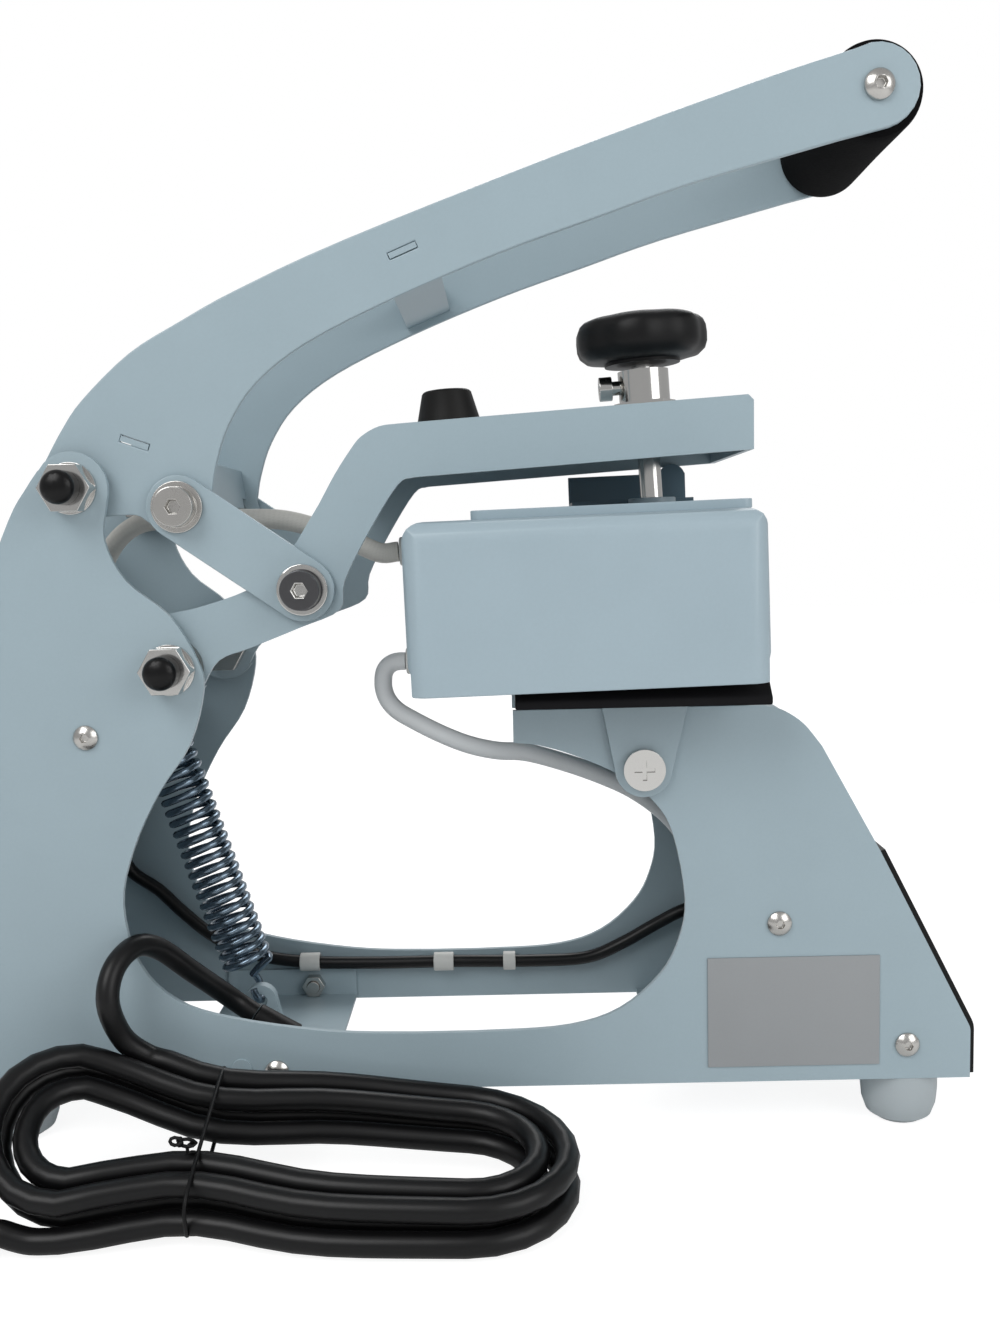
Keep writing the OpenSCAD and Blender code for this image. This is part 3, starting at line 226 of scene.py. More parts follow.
@dataclass
class SurfaceGroups:
    """Builds each kind of surface once, as a shader node group.

    Attributes:
        cloud_scale: Clouds to a metre in the slow wander of the colour.
        cloud_detail: Layers of those clouds.
        dapple: Share of the fine pattern in the wander.
        swing: How much more the colour wanders than the roughness.
        braid_turn: Lean of the two braids, in radians.
        braid_scale: Scale of the braids on a sleeve.
    """

    made: dict[Surface, Tree] = field(default_factory=dict)
    cloud_scale: float = 38
    cloud_detail: float = 5
    dapple: float = 0.6
    swing: float = 1.6
    braid_turn: float = 0.6
    braid_scale: float = 22

    def get(self, surface: Surface) -> Tree:
        """Return the node group of a surface, made on first use."""
        if surface not in self.made:
            self.made[surface] = self._build(surface)
        return self.made[surface]

    def _build(self, surface: Surface) -> Tree:
        """Make the group of one surface, with its sockets and pattern."""
        tree = bpy.data.node_groups.new(surface.value, "ShaderNodeTree")
        face = tree.interface
        face.new_socket("Colour", in_out="INPUT", socket_type="NodeSocketColor")
        for name in ("Roughness", "Grain", "Shift"):
            face.new_socket(name, in_out="INPUT", socket_type="NodeSocketFloat")
        face.new_socket("Colour", in_out="OUTPUT", socket_type="NodeSocketColor")
        for name in ("Roughness", "Height"):
            face.new_socket(name, in_out="OUTPUT", socket_type="NodeSocketFloat")
        inside = tree.nodes.new("NodeGroupInput")
        out = tree.nodes.new("NodeGroupOutput")
        place = tree.nodes.new("ShaderNodeTexCoord").outputs["Object"]
        if surface is Surface.BRAID:
            place = tree.nodes.new("ShaderNodeTexCoord").outputs["UV"]
        fineness = self._math(tree, "DIVIDE", 1.0, inside.outputs["Grain"])
        height = self._pattern(tree, surface, place, fineness)
        clouds = tree.nodes.new("ShaderNodeTexNoise")
        clouds.inputs["Scale"].default_value = self.cloud_scale
        clouds.inputs["Detail"].default_value = self.cloud_detail
        tree.links.new(tree.nodes.new("ShaderNodeTexCoord").outputs["Object"], clouds.inputs["Vector"])
        cloud = self._math(tree, "SUBTRACT", clouds.outputs["Fac"], 0.5)
        fine = self._math(tree, "SUBTRACT", height, 0.5)
        both = self._math(tree, "ADD", cloud, self._math(tree, "MULTIPLY", fine, self.dapple))
        wander = self._math(tree, "MULTIPLY", both, inside.outputs["Shift"])
        level = self._math(tree, "ADD", 1.0, self._math(tree, "MULTIPLY", wander, self.swing))
        tint = tree.nodes.new("ShaderNodeVectorMath")
        tint.operation = "SCALE"
        tree.links.new(inside.outputs["Colour"], tint.inputs[0])
        tree.links.new(level, tint.inputs["Scale"])
        rough = self._math(tree, "ADD", inside.outputs["Roughness"], wander)
        tree.links.new(tint.outputs["Vector"], out.inputs["Colour"])
        tree.links.new(rough, out.inputs["Roughness"])
        tree.links.new(height, out.inputs["Height"])
        return tree

    @staticmethod
    def _math(tree: Tree, operation: str, a: object, b: object) -> Socket:
        """Add a Math node on two sockets or numbers and return its output."""
        node = tree.nodes.new("ShaderNodeMath")
        node.operation = operation
        for index, value in enumerate((a, b)):
            if isinstance(value, Socket):
                tree.links.new(value, node.inputs[index])
            else:
                node.inputs[index].default_value = value
        return node.outputs[0]

    def _pattern(self, tree: Tree, surface: Surface, place: Socket, fineness: Socket) -> Socket:
        """Add the pattern of one surface and return its height, from 0 to 1.

        Args:
            tree: Node tree.
            surface: Kind of surface.
            place: Coordinates.
            fineness: Patterns to a metre.
        """
        stretch = {Surface.TURNED: 0.12, Surface.FIBRE: 0.3}.get(surface, 1.0)
        mapping = tree.nodes.new("ShaderNodeMapping")
        mapping.inputs["Scale"].default_value = (1.0, stretch, 1.0)
        tree.links.new(place, mapping.inputs["Vector"])
        if surface is Surface.BRAID:
            waves = []
            for turn in (self.braid_turn, -self.braid_turn):
                turned = tree.nodes.new("ShaderNodeMapping")
                turned.inputs["Rotation"].default_value = (0, 0, turn)
                tree.links.new(place, turned.inputs["Vector"])
                wave = tree.nodes.new("ShaderNodeTexWave")
                wave.inputs["Scale"].default_value = self.braid_scale
                tree.links.new(turned.outputs["Vector"], wave.inputs["Vector"])
                waves.append(wave.outputs["Fac"])
            return self._math(tree, "MAXIMUM", waves[0], waves[1])
        if surface is Surface.FOAM:
            cells = tree.nodes.new("ShaderNodeTexVoronoi")
            tree.links.new(mapping.outputs["Vector"], cells.inputs["Vector"])
            tree.links.new(fineness, cells.inputs["Scale"])
            return cells.outputs["Distance"]
        noise = tree.nodes.new("ShaderNodeTexNoise")
        detail, rough = (2, 0.45) if surface is Surface.POWDER_COAT else (6, 0.6)
        noise.inputs["Detail"].default_value = detail
        noise.inputs["Roughness"].default_value = rough
        tree.links.new(mapping.outputs["Vector"], noise.inputs["Vector"])
        tree.links.new(fineness, noise.inputs["Scale"])
        return noise.outputs["Fac"]


@dataclass
class PaintShop:
    """Makes the materials and puts them on pieces.

    Attributes:
        bump_strength: Strength of every bump.
        coat_roughness: Roughness of every clear coat.
    """

    groups: SurfaceGroups = field(default_factory=SurfaceGroups)
    made: dict[str, bpy.types.Material] = field(default_factory=dict)
    bump_strength: float = 0.6
    coat_roughness: float = 0.12

    def material(self, finish: Finish) -> bpy.types.Material:
        """Return the material of a finish, made on first use."""
        if finish.name in self.made:
            return self.made[finish.name]
        material = bpy.data.materials.new(finish.name)
        material.use_nodes = True
        tree = material.node_tree
        shader = tree.nodes["Principled BSDF"]
        group = tree.nodes.new("ShaderNodeGroup")
        group.node_tree = self.groups.get(finish.surface)
        group.inputs["Colour"].default_value = (*finish.colour, 1)
        for name, value in (("Roughness", finish.roughness), ("Grain", finish.grain),
                            ("Shift", finish.shift)):
            group.inputs[name].default_value = value
        bump = tree.nodes.new("ShaderNodeBump")
        bump.inputs["Strength"].default_value = self.bump_strength
        bump.inputs["Distance"].default_value = finish.relief
        tree.links.new(group.outputs["Colour"], shader.inputs["Base Color"])
        tree.links.new(group.outputs["Roughness"], shader.inputs["Roughness"])
        tree.links.new(group.outputs["Height"], bump.inputs["Height"])
        tree.links.new(bump.outputs["Normal"], shader.inputs["Normal"])
        for name, value in (("Metallic", finish.metallic), ("Coat Weight", finish.coat),
                            ("Coat Roughness", self.coat_roughness), ("Transmission Weight", finish.clear),
                            ("Specular IOR Level", finish.shine)):
            shader.inputs[name].default_value = value
        self.made[finish.name] = material
        return material

    def dress(self, piece: Piece, finish: Finish) -> None:
        """Give a piece one finish."""
        piece.data.materials.clear()
        piece.data.materials.append(self.material(finish))


def only(piece: Piece) -> None:
    """Select one object and nothing else."""
    bpy.ops.object.select_all(action="DESELECT")
    piece.select_set(True)
    bpy.context.view_layer.objects.active = piece


def open_mesh(piece: Piece) -> None:
    """Open a piece for editing with all of its mesh selected."""
    only(piece)
    bpy.ops.object.mode_set(mode="EDIT")
    bpy.ops.mesh.select_all(action="SELECT")


def close_mesh() -> None:
    """Close the piece that is open for editing."""
    bpy.ops.object.mode_set(mode="OBJECT")


def smooth(piece: Piece, degrees: float) -> None:
    """Shade a piece smooth, apart from edges sharper than an angle."""
    only(piece)
    bpy.ops.object.shade_smooth_by_angle(angle=math.radians(degrees))


def apply_modifiers(piece: Piece) -> None:
    """Apply every modifier of a piece in order."""
    only(piece)
    for modifier in list(piece.modifiers):
        bpy.ops.object.modifier_apply(modifier=modifier.name)


def settle(piece: Piece, matrix: Matrix) -> None:
    """Move a piece's mesh by a matrix and leave its object at the origin."""
    only(piece)
    piece.matrix_world = matrix @ piece.matrix_world
    bpy.ops.object.transform_apply(location=True, rotation=True, scale=True)


@dataclass
class Bench:
    """Copies CAD nodes for softened edges, and carries over the others.

    Attributes:
        shop: Maker of the materials.
        flat_angle: Faces that meet flatter than this, in degrees, are merged.
        bevel_angle: Edges sharper than this, in degrees, are bevelled.
        smooth_angle: Edges flatter than this, in degrees, are shaded smooth.
    """

    frame: dict
    shop: PaintShop
    flat_angle: float = 0.6
    bevel_angle: float = 34
    smooth_angle: float = 28

    def body(self, node: str) -> str:
        """Return the name of the body that a node rides on."""
        return str(self.frame["nodes"][node]["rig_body"])

    def softened(self, node: str, finish: Finish, width: float, segments: int = 2) -> Piece:
        """Stand a copy in for a CAD node, its edges bevelled to a width with some segments."""
        source = self.frame["nodes"][node]
        piece = source.copy()
        piece.data = source.data.copy()
        piece.parent = None
        piece.name = f"{node}_soft"
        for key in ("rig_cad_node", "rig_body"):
            if key in piece:
                del piece[key]
        bpy.context.scene.collection.objects.link(piece)
        open_mesh(piece)
        bpy.ops.mesh.remove_doubles(threshold=WELD)
        bpy.ops.mesh.dissolve_limited(angle_limit=math.radians(self.flat_angle))
        close_mesh()
        bevel = piece.modifiers.new("edge", "BEVEL")
        bevel.width = width
        bevel.segments = segments
        bevel.limit_method = "ANGLE"
        bevel.angle_limit = math.radians(self.bevel_angle)
        bevel.use_clamp_overlap = True
        apply_modifiers(piece)
        smooth(piece, self.smooth_angle)
        weighted = piece.modifiers.new("flat_faces", "WEIGHTED_NORMAL")
        weighted.keep_sharp = True
        apply_modifiers(piece)
        self.shop.dress(piece, finish)
        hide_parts(node)
        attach(piece, self.body(node))
        return piece

    def soften(self, finish: Finish, width: float, *nodes: str, segments: int = 2) -> None:
        """Soften several nodes in one way."""
        for node in nodes:
            self.softened(node, finish, width, segments)

    def carried(self, finish: Finish, *nodes: str) -> None:
        """Keep CAD nodes as they are and give them a finish."""
        for node in nodes:
            self.shop.dress(self.frame["nodes"][node], finish)


def between(a: Vector, b: Vector, c: Vector, d: Vector, t: float) -> Vector:
    """Return the place at the share t of a smooth line from b to c, with a before and d after."""
    return 0.5 * (2 * b + (c - a) * t + (2 * a - 5 * b + 4 * c - d) * t * t
                  + (3 * b - a - 3 * c + d) * t * t * t)


def smooth_line(points: Sequence[Point | Vector], steps: int = 6) -> list[Vector]:
    """Run a smooth line through points, with some steps from each to the next."""
    p = [Vector(q) for q in points]
    last = len(p) - 1
    line = []
    for i in range(last):
        before = p[i - 1] if i else 2 * p[0] - p[1]
        after = p[i + 2] if i < last - 1 else 2 * p[last] - p[last - 1]
        line += [between(before, p[i], p[i + 1], after, k / steps) for k in range(steps)]
    return line + [p[last]]


def length_of(line: Sequence[Vector]) -> float:
    """Return the length of a line of places."""
    return sum((b - a).length for a, b in zip(line, line[1:]))


def in_metres(line: Sequence[Vector]) -> list[Vector]:
    """Turn places in millimetres into metres."""
    return [p * MM for p in line]


@dataclass
class Strand:
    """A round cord, cable or wire on a line of places.

    Attributes:
        name: Name of the piece.
        line: Places along its middle, in metres.
        diameter: Diameter in metres.
        finish: Its finish.
        sides: How round its section is, as a bevel resolution.
    """

    name: str
    line: list[Vector]
    diameter: float
    finish: Finish
    sides: int = 4

    def make(self, shop: PaintShop, as_mesh: bool = False) -> Piece:
        """Build the strand, as a mesh where it has to bend with a joint."""
        data = bpy.data.curves.new(self.name, "CURVE")
        data.dimensions = "3D"
        data.twist_mode = "MINIMUM"
        data.bevel_depth = self.diameter / 2
        data.bevel_resolution = self.sides
        data.use_fill_caps = True
        spline = data.splines.new("POLY")
        spline.points.add(len(self.line) - 1)
        spline.points.foreach_set("co", [v for p in self.line for v in (*p, 1.0)])
        spline.use_smooth = True
        piece = bpy.data.objects.new(self.name, data)
        bpy.context.scene.collection.objects.link(piece)
        if as_mesh:
            only(piece)
            bpy.ops.object.convert(target="MESH")
            piece = bpy.context.object
            open_mesh(piece)
            bpy.ops.mesh.remove_doubles(threshold=WELD)
            bpy.ops.mesh.normals_make_consistent(inside=False)
            close_mesh()
            smooth(piece, 50)
        shop.dress(piece, self.finish)
        return piece


@dataclass
class Turning:
    """A piece turned on a lathe, from rings extruded one after another.

    Attributes:
        name: Name of the piece.
        rings: Radius and height of each ring, in metres, from the bottom up.
        finish: Its finish.
        sides: Points round a ring.
    """

    name: str
    rings: Sequence[tuple[float, float]]
    finish: Finish
    sides: int = 64

    def make(self, shop: PaintShop, place: Matrix,
             lobes: Callable[[float, float, float], float] | None = None) -> Piece:
        """Build the turning.

        Args:
            shop: Maker of the materials.
            place: Where its axis goes.
            lobes: Gives the share of a radius from the angle, radius and height.
        """
        bpy.ops.object.select_all(action="DESELECT")
        radius, height = self.rings[0]
        bpy.ops.mesh.primitive_circle_add(vertices=self.sides, radius=radius, fill_type="NGON",
                                          location=(0, 0, height))
        piece = bpy.context.object
        piece.name = self.name
        bpy.ops.object.transform_apply(location=True)
        open_mesh(piece)
        for (r0, z0), (r1, z1) in zip(self.rings, self.rings[1:]):
            bpy.ops.mesh.extrude_region_move(TRANSFORM_OT_translate={"value": (0, 0, z1 - z0)})
            bpy.ops.transform.resize(value=(r1 / r0, r1 / r0, 1))
        bpy.ops.mesh.select_all(action="SELECT")
        bpy.ops.mesh.normals_make_consistent(inside=False)
        close_mesh()
        if lobes is not None:
            for vertex in piece.data.vertices:
                flat = math.hypot(vertex.co.x, vertex.co.y)
                share = lobes(math.atan2(vertex.co.y, vertex.co.x), flat, vertex.co.z)
                vertex.co.x *= share
                vertex.co.y *= share
        smooth(piece, 38)
        settle(piece, place)
        shop.dress(piece, self.finish)
        return piece


@dataclass
class MainsCord:
    """The mains cord with its tied hank and plug, on the same formulas as the solids.

    Attributes:
        nozzle: Foot of the nozzle that the cord comes out of.
        nozzle_tilt: Lean of the nozzle to the rear, in degrees.
        nozzle_reach: From its foot to the start of the cord.
        free_run: Listed places of the arch.
        centre_x: Middle of the hank.
        run: Half of its straight runs.
        inner_r: Radius of its innermost fold.
        step: From one turn to the next.
        finer: Places to a turn. The solids have 24.
        waist_x: Where the tie draws it in, from its middle.
        waist_in: How far the tie draws it in.
        waist_l: How far along the hank this is felt.
        front_y: Edge of the hank nearest to the camera.
        skew: Slope of the hank to the frame.
        lean_left: Lean at its left end, in degrees.
        lean_left_x: Where that lean is.
        lean_fade: How quickly the lean fades to the right.
        plug_back: From the end of the hank to the plug.
        plug_z: Height of the plug's middle.
        blade_l: Length of the bright blades, in metres.
    """

    diameter: float = 7.5
    nozzle: Point = (-64, -20, 26)
    nozzle_tilt: float = 53
    nozzle_reach: float = 16.3
    free_run: tuple[Point, ...] = (
        (-89, -24, 47), (-96, -34, 57.5), (-104, -42.5, 68), (-109.5, -51, 71.5), (-114, -60, 67),
        (-115, -64.5, 57), (-111.5, -62, 44.5))
    centre_x: float = -58.0
    run: float = 59.0
    inner_r: float = 17.0
    step: float = 9.1
    turns: float = 3.75
    finer: int = 48
    waist_x: float = -22.0
    waist_in: float = 8.0
    waist_l: float = 26.0
    front_y: float = -114.0
    skew: float = 0.06
    lean_left: float = 38
    lean_left_x: float = -140
    lean_fade: float = 75
    plug_back: float = 12
    plug_z: float = 7.5
    blade_l: float = 0.0158

    @property
    def outer(self) -> float:
        """Radius of the outermost loop, in millimetres."""
        return self.inner_r + self.step * self.turns / 2

    def lean(self, x: float) -> float:
        """Return how far the hank leans at a place along it, in radians."""
        fade = math.exp((self.lean_left_x - self.centre_x - x) / self.lean_fade)
        return math.radians(self.lean_left * fade)

    def on_hank(self, x: float, v: float, w: float) -> Vector:
        """Return the place x along the leaning hank, v across its face and w off its face."""
        c, s = math.cos(self.lean(x)), math.sin(self.lean(x))
        return Vector((self.centre_x + x, self.front_y - self.skew * (x + self.run) + v * c - w * s,
                       self.diameter / 2 + 0.2 + v * s + w * c))

    def draw(self, x: float) -> float:
        """Return how far the tie draws a run in."""
        return self.waist_in * math.exp(-((x - self.waist_x) / self.waist_l) ** 2)

    def loop(self, t: float) -> Vector:
        """Return the place on the wound loops at t turns from the start."""
        u = t - math.floor(t)
        r = self.inner_r + self.step * (self.turns / 2 - min(t, self.turns - t))
        if u < 0.25:
            x = self.run * (8 * u - 1)
            v = r - self.draw(x)
        elif u < 0.5:
            a = math.radians(90 - 720 * (u - 0.25))
            x, v = self.run + r * math.cos(a), r * math.sin(a)
        elif u < 0.75:
            x = self.run * (1 - 8 * (u - 0.5))
            v = self.draw(x) - r
        else:
            a = math.radians(270 - 720 * (u - 0.75))
            x, v = r * math.cos(a) - self.run, r * math.sin(a)
        half = self.turns / 2
        layer = 1.0 if t < half - 0.25 else 0.0 if t > half + 0.25 else 0.5 - 2 * (t - half)
        return self.on_hank(x, v + self.outer, layer * self.step)

    def line(self) -> list[Vector]:
        """Return the whole cord from the base to the plug, in millimetres."""
        tilt = math.radians(self.nozzle_tilt)
        start = Vector(self.nozzle) + self.nozzle_reach * Vector((-math.sin(tilt), 0, math.cos(tilt)))
        first = self.finer // 24
        last = round(self.turns * self.finer)
        body = [self.loop(min(i / self.finer, self.turns - 0.0001)) for i in range(first, last + 1)]
        lead = self.loop(1 / 24) - self.diameter * (self.loop(2 / 24) - self.loop(1 / 24)).normalized()
        head = smooth_line([start, start + Vector((-6.4, 0, 4.8)), *self.free_run, lead, body[0]])
        end = body[-1] - Vector((self.diameter, 0, 0))
        plug = Vector((end.x - self.plug_back, end.y, self.plug_z))
        slack = [end + Vector((-5, 0, 1.2)), plug + Vector((3, 0, -0.4))]
        tail = smooth_line([body[-1], end, *slack, plug], 4)
        return head[:-1] + body + tail[1:]

    def tie(self) -> list[Vector]:
        """Return the line of the twist tie round the drawn-in waist."""
        slack = self.diameter / 2 + 0.5
        low, high = self.waist_in - slack, 2 * self.outer - self.waist_in + slack
        down, up = -slack + 0.15, self.step + slack
        mid_v, mid_w = (low + high) / 2, (down + up) / 2
        half_v, half_w = (high - low) / 2, (up - down) / 2
        ring = []
        for k in range(49):
            a = 2 * math.pi * k / 48
            c, s = math.cos(a), math.sin(a)
            v = mid_v + half_v * math.copysign(abs(c) ** 0.35, c)
            w = mid_w + half_w * math.copysign(abs(s) ** 0.5, s)
            ring.append(self.on_hank(self.waist_x + 0.8 * math.sin(a), v, w))
        return ring

    def tie_ends(self) -> list[Vector]:
        """Return the line of the tie's twisted ends, a small loop and a tail."""
        base = self.on_hank(self.waist_x, self.outer * 0.8, self.step + 5)
        steps = []
        for k in range(40):
            a = 2 * math.pi * k / 26
            reach = 4 + 9 * math.sin(math.pi * min(k, 26) / 26)
            steps.append(base + Vector((1.4 * math.cos(3 * a) - reach * 0.35, -reach * 0.75,
                                        1.2 * math.sin(3 * a) + 4 * math.sin(a * 0.5))))
        return steps

    def make(self, bench: Bench) -> None:
        shop = bench.shop
        line = in_metres(self.line())
        cord = Strand("mains_cord_run", line, self.diameter * MM, BLACK_JACKET, sides=5).make(shop)
        tie = Strand("hank_tie_wire", in_metres(self.tie()), 0.0013, BLACK_PLASTIC, sides=2).make(shop)
        ends = in_metres(self.tie_ends())
        ends = Strand("hank_tie_ends", ends, 0.0011, BLACK_PLASTIC, sides=2).make(shop)
        plug = bench.softened("mains_plug", BLACK_PLASTIC, 0.0007, 3)
        self.brighten_blades(bench, plug)
        for piece in (cord, tie, ends):
            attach(piece, "frame")
        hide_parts("mains_cord", "mains_hank")
        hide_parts("hank_tie")
        LOG.info("mains cord: %.3f m", length_of(line))

    def brighten_blades(self, bench: Bench, plug: Piece) -> None:
        """Give the two blades of the plug, which point to -X, a bright finish."""
        plug.data.materials.append(bench.shop.material(ZINC))
        low = min(v.co.x for v in plug.data.vertices)
        for face in plug.data.polygons:
            if face.center.x < low + self.blade_l:
                face.material_index = 1


@dataclass
class HeldCables:
    """The head cable, the lower cable and the lead along the far rail.

    Attributes:
        head_at: Middle of the housing's lower edge.
        tilt: Slope of the head at rest, in degrees.
        gland_end_x: Where the cables leave their glands, in the head's own frame.
        lead_y: How far out the lead runs.
    """

    head_at: Point = (42.0, 0.0, 156.4)
    tilt: float = 1.3
    gland_end_x: float = -61.9
    lead_y: float = 39.1

    def head_point(self, x: float, y: float, z: float) -> Vector:
        """Return a place in the head's own frame, in the part's frame."""
        c, s = math.cos(math.radians(self.tilt)), math.sin(math.radians(self.tilt))
        return Vector((self.head_at[0] + x * c - z * s, y, self.head_at[2] + x * s + z * c))

    def lines(self) -> dict[str, list[Vector]]:
        """Return the line of each cable, in millimetres."""
        way = Vector((-math.cos(math.radians(self.tilt)), 0, -math.sin(math.radians(self.tilt))))
        top = self.head_point(self.gland_end_x, -14, 45)
        low = self.head_point(self.gland_end_x, -10, 6)
        out = self.lead_y
        head = [top, top + 7 * way, (-39, -13.5, 205), (-50, -13, 209), (-62, -12, 212), (-76, -12, 212.6),
                (-90, -12, 212.4), (-104, -12, 213), (-114, -11, 211), (-123, -8, 204), (-131, 0, 192),
                (-137, 11, 177), (-140, 22, 160), (-140, 31, 143), (-140, 35, 130), (-140, 35, 120)]
        lower = [low, low + 2 * way, (-24.3, -10, 160.5), (-26.3, -10, 159.2), (-27.6, -10, 157.2),
                 (-28.1, -10, 154.5), (-28, -10, 151), (-26.6, -10.5, 147.2), (-23.4, -11.5, 143.6),
                 (-18, -12, 140.2), (-8, -13, 135), (2, -14, 131), (12, -15, 128.8), (22, -15, 128),
                 (34, -14, 124.5), (48, -12, 119), (61, -8, 112), (73, -3, 102), (82, 2, 90), (88, 5, 76),
                 (90, 6, 62), (90, 6, 48), (90, 6, 34.5)]
        lead = [(-140, 37, 95), (-140, 37, 84), (-136, 38, 74), (-126, out, 66), (-116, out, 56),
                (-104, out, 46), (-88, out, 38.5), (-68, out, 35), (-40, out, 34), (-9, out, 34),
                (25, out, 33.5), (46, out, 34.5), (60, out, 40), (72, out - 1, 47), (82, out - 3, 53),
                (92, 36, 57)]
        return {"head": smooth_line(head), "lower": smooth_line(lower), "lead": smooth_line(lead)}

    def make(self, bench: Bench) -> None:
        """Build the cables, the two that reach the head as meshes. On the press these two bend with the
        arm.
        """
        lines = self.lines()
        shop = bench.shop
        places = {name: in_metres(line) for name, line in lines.items()}
        head = Strand("head_cable_sleeved", places["head"], 0.007, HEAD_SLEEVE).make(shop, as_mesh=True)
        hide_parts("head_cable")
        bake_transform(head)
        lower = Strand("lower_cable_jacket", places["lower"], 0.0064, GREY_JACKET).make(shop, as_mesh=True)
        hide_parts("lower_cable")
        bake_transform(lower)
        lead = Strand("inner_lead_jacket", places["lead"], 0.005, BLACK_JACKET, sides=3).make(shop)
        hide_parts("inner_lead")
        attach(lead, "frame")
        LOG.info("held cables: %s", ", ".join(f"{k} {length_of(v):.0f} mm" for k, v in lines.items()))


@dataclass
class ReturnSpring:
    """The return spring between the base lug and the tail of the arm.

    Attributes:
        tail: Pin on the arm's tail.
        lug: Hole in the base lug.
        outer: Outer diameter of the coil.
        per_curl: Places to a curl.
        low_hook: Radius of the lower hook.
        low_end: From the lug to the first curl.
        high_end: From the last curl to the pin.
    """

    tail: Point = (-119.0, 0.0, 162.0)
    lug: Point = (-78.5, 0.0, 34.0)
    outer: float = 19.0
    wire: float = 2.8
    curls: int = 25
    per_curl: int = 20
    tail_pin_d: float = 6.0
    low_hook: float = 5.0
    low_end: float = 14.0
    high_end: float = 18.0

    def line(self) -> list[Vector]:
        """Return the line of the wire with both hooks, in millimetres."""
        span = Vector(self.tail) - Vector(self.lug)
        up = span.normalized()
        side = Vector((up.z, 0, -up.x))
        across = Vector((0, 1, 0))
        low, high = self.low_end, span.length - self.high_end
        coil_r = (self.outer - self.wire) / 2
        hook = self.tail_pin_d / 2 + self.wire / 2 + 0.6
        bend = self.low_hook
        local = [(0.0, bend * math.sin(a), bend - bend * math.cos(a))
                 for a in map(math.radians, range(-100, 171, 15))]
        local.append((2.5, 1.5, low - 2.6))
        total = self.per_curl * self.curls
        for i in range(total + 1):
            a = 2 * math.pi * i / self.per_curl
            local.append((coil_r * math.cos(a), coil_r * math.sin(a), low + (high - low) * i / total))
        local += [(4, 2.5, high + 2.6), (0.5, 0.5, high + 6)]
        local += [(-hook * math.sin(a), 0.0, span.length - hook * math.cos(a))
                  for a in map(math.radians, range(-10, 281, 16))]
        return [Vector(self.lug) + q[0] * side + q[1] * across + q[2] * up for q in local]

    def make(self, bench: Bench) -> None:
        """Build the spring as a mesh of its own. On the press it shortens as the arm lifts."""
        wire = Strand("return_spring_wire", in_metres(self.line()), self.wire * MM, SPRING_STEEL, sides=2)
        piece = wire.make(bench.shop, as_mesh=True)
        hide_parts("return_spring")
        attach(piece, "frame")
        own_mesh(piece)
        LOG.info("return spring: %d curls", self.curls)


@dataclass
class PressureSet:
    """The knob, its hub and the collar on the pressure screw.

    Attributes:
        at: Top of the arm on the screw's axis.
        tilt: Lean of that axis, in degrees.
        hub_z: Foot of the knob's hub above the arm.
        rim_z: Foot of its rim above the arm.
        lobe_count: Finger lobes round the rim.
        lobe_depth: Depth of the hollows between them, as a share of the radius.
        lobe_from: The lobes start at this share of the radius.
        profile: Radius and height of the rim's rings, as shares of the radius and height.
    """

    at: Point = (0.0678, 0.0, 0.24706)
    tilt: float = 3.42
    hub_z: float = 0.0168
    rim_z: float = 0.0182
    radius: float = 0.0235
    height: float = 0.0165
    lobe_count: int = 7
    lobe_depth: float = 0.045
    lobe_from: float = 0.72
    profile: tuple[tuple[float, float], ...] = (
        (0.86, 0.06), (0.96, 0.18), (0.995, 0.32), (1, 0.5), (0.99, 0.66), (0.955, 0.78), (0.89, 0.86),
        (0.78, 0.915), (0.6, 0.95), (0.36, 0.965), (0.32, 0.93), (0.1, 0.92))

    def place(self) -> Matrix:
        """Return the place of the screw's axis."""
        return Matrix.Translation(self.at) @ Matrix.Rotation(math.radians(-self.tilt), 4, "Y")

    def make(self, bench: Bench) -> None:
        """Build the lobed knob with its hub, and dress the screw and collar."""
        r, z = self.radius, self.rim_z
        rings = [(0.0095, self.hub_z), (0.0134, self.hub_z + 0.0002), (0.0135, z - 0.0002),
                 (0.0150, z + 0.0001), (r * 0.7, z + 0.0004)]
        rings += [(r * across, z + self.height * up) for across, up in self.profile]

        def lobes(angle: float, flat: float, height: float) -> float:
            """Return the share of the radius that the finger lobes leave."""
            if flat < r * self.lobe_from or height < z:
                return 1.0
            return 1 - self.lobe_depth * (0.5 - 0.5 * math.cos(self.lobe_count * angle)) ** 2

        turning = Turning("pressure_knob_lobed", rings, BLACK_PLASTIC, sides=96)
        knob = turning.make(bench.shop, self.place(), lobes)
        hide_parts("pressure_knob")
        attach(knob, "screw")
        bench.soften(CHROME, 0.0006, "pressure_screw")
        bench.soften(CHROME, 0.0004, "collar_nut")
        bench.soften(CHROME, 0.0003, "lock_screw")
        LOG.info("pressure knob and collar")


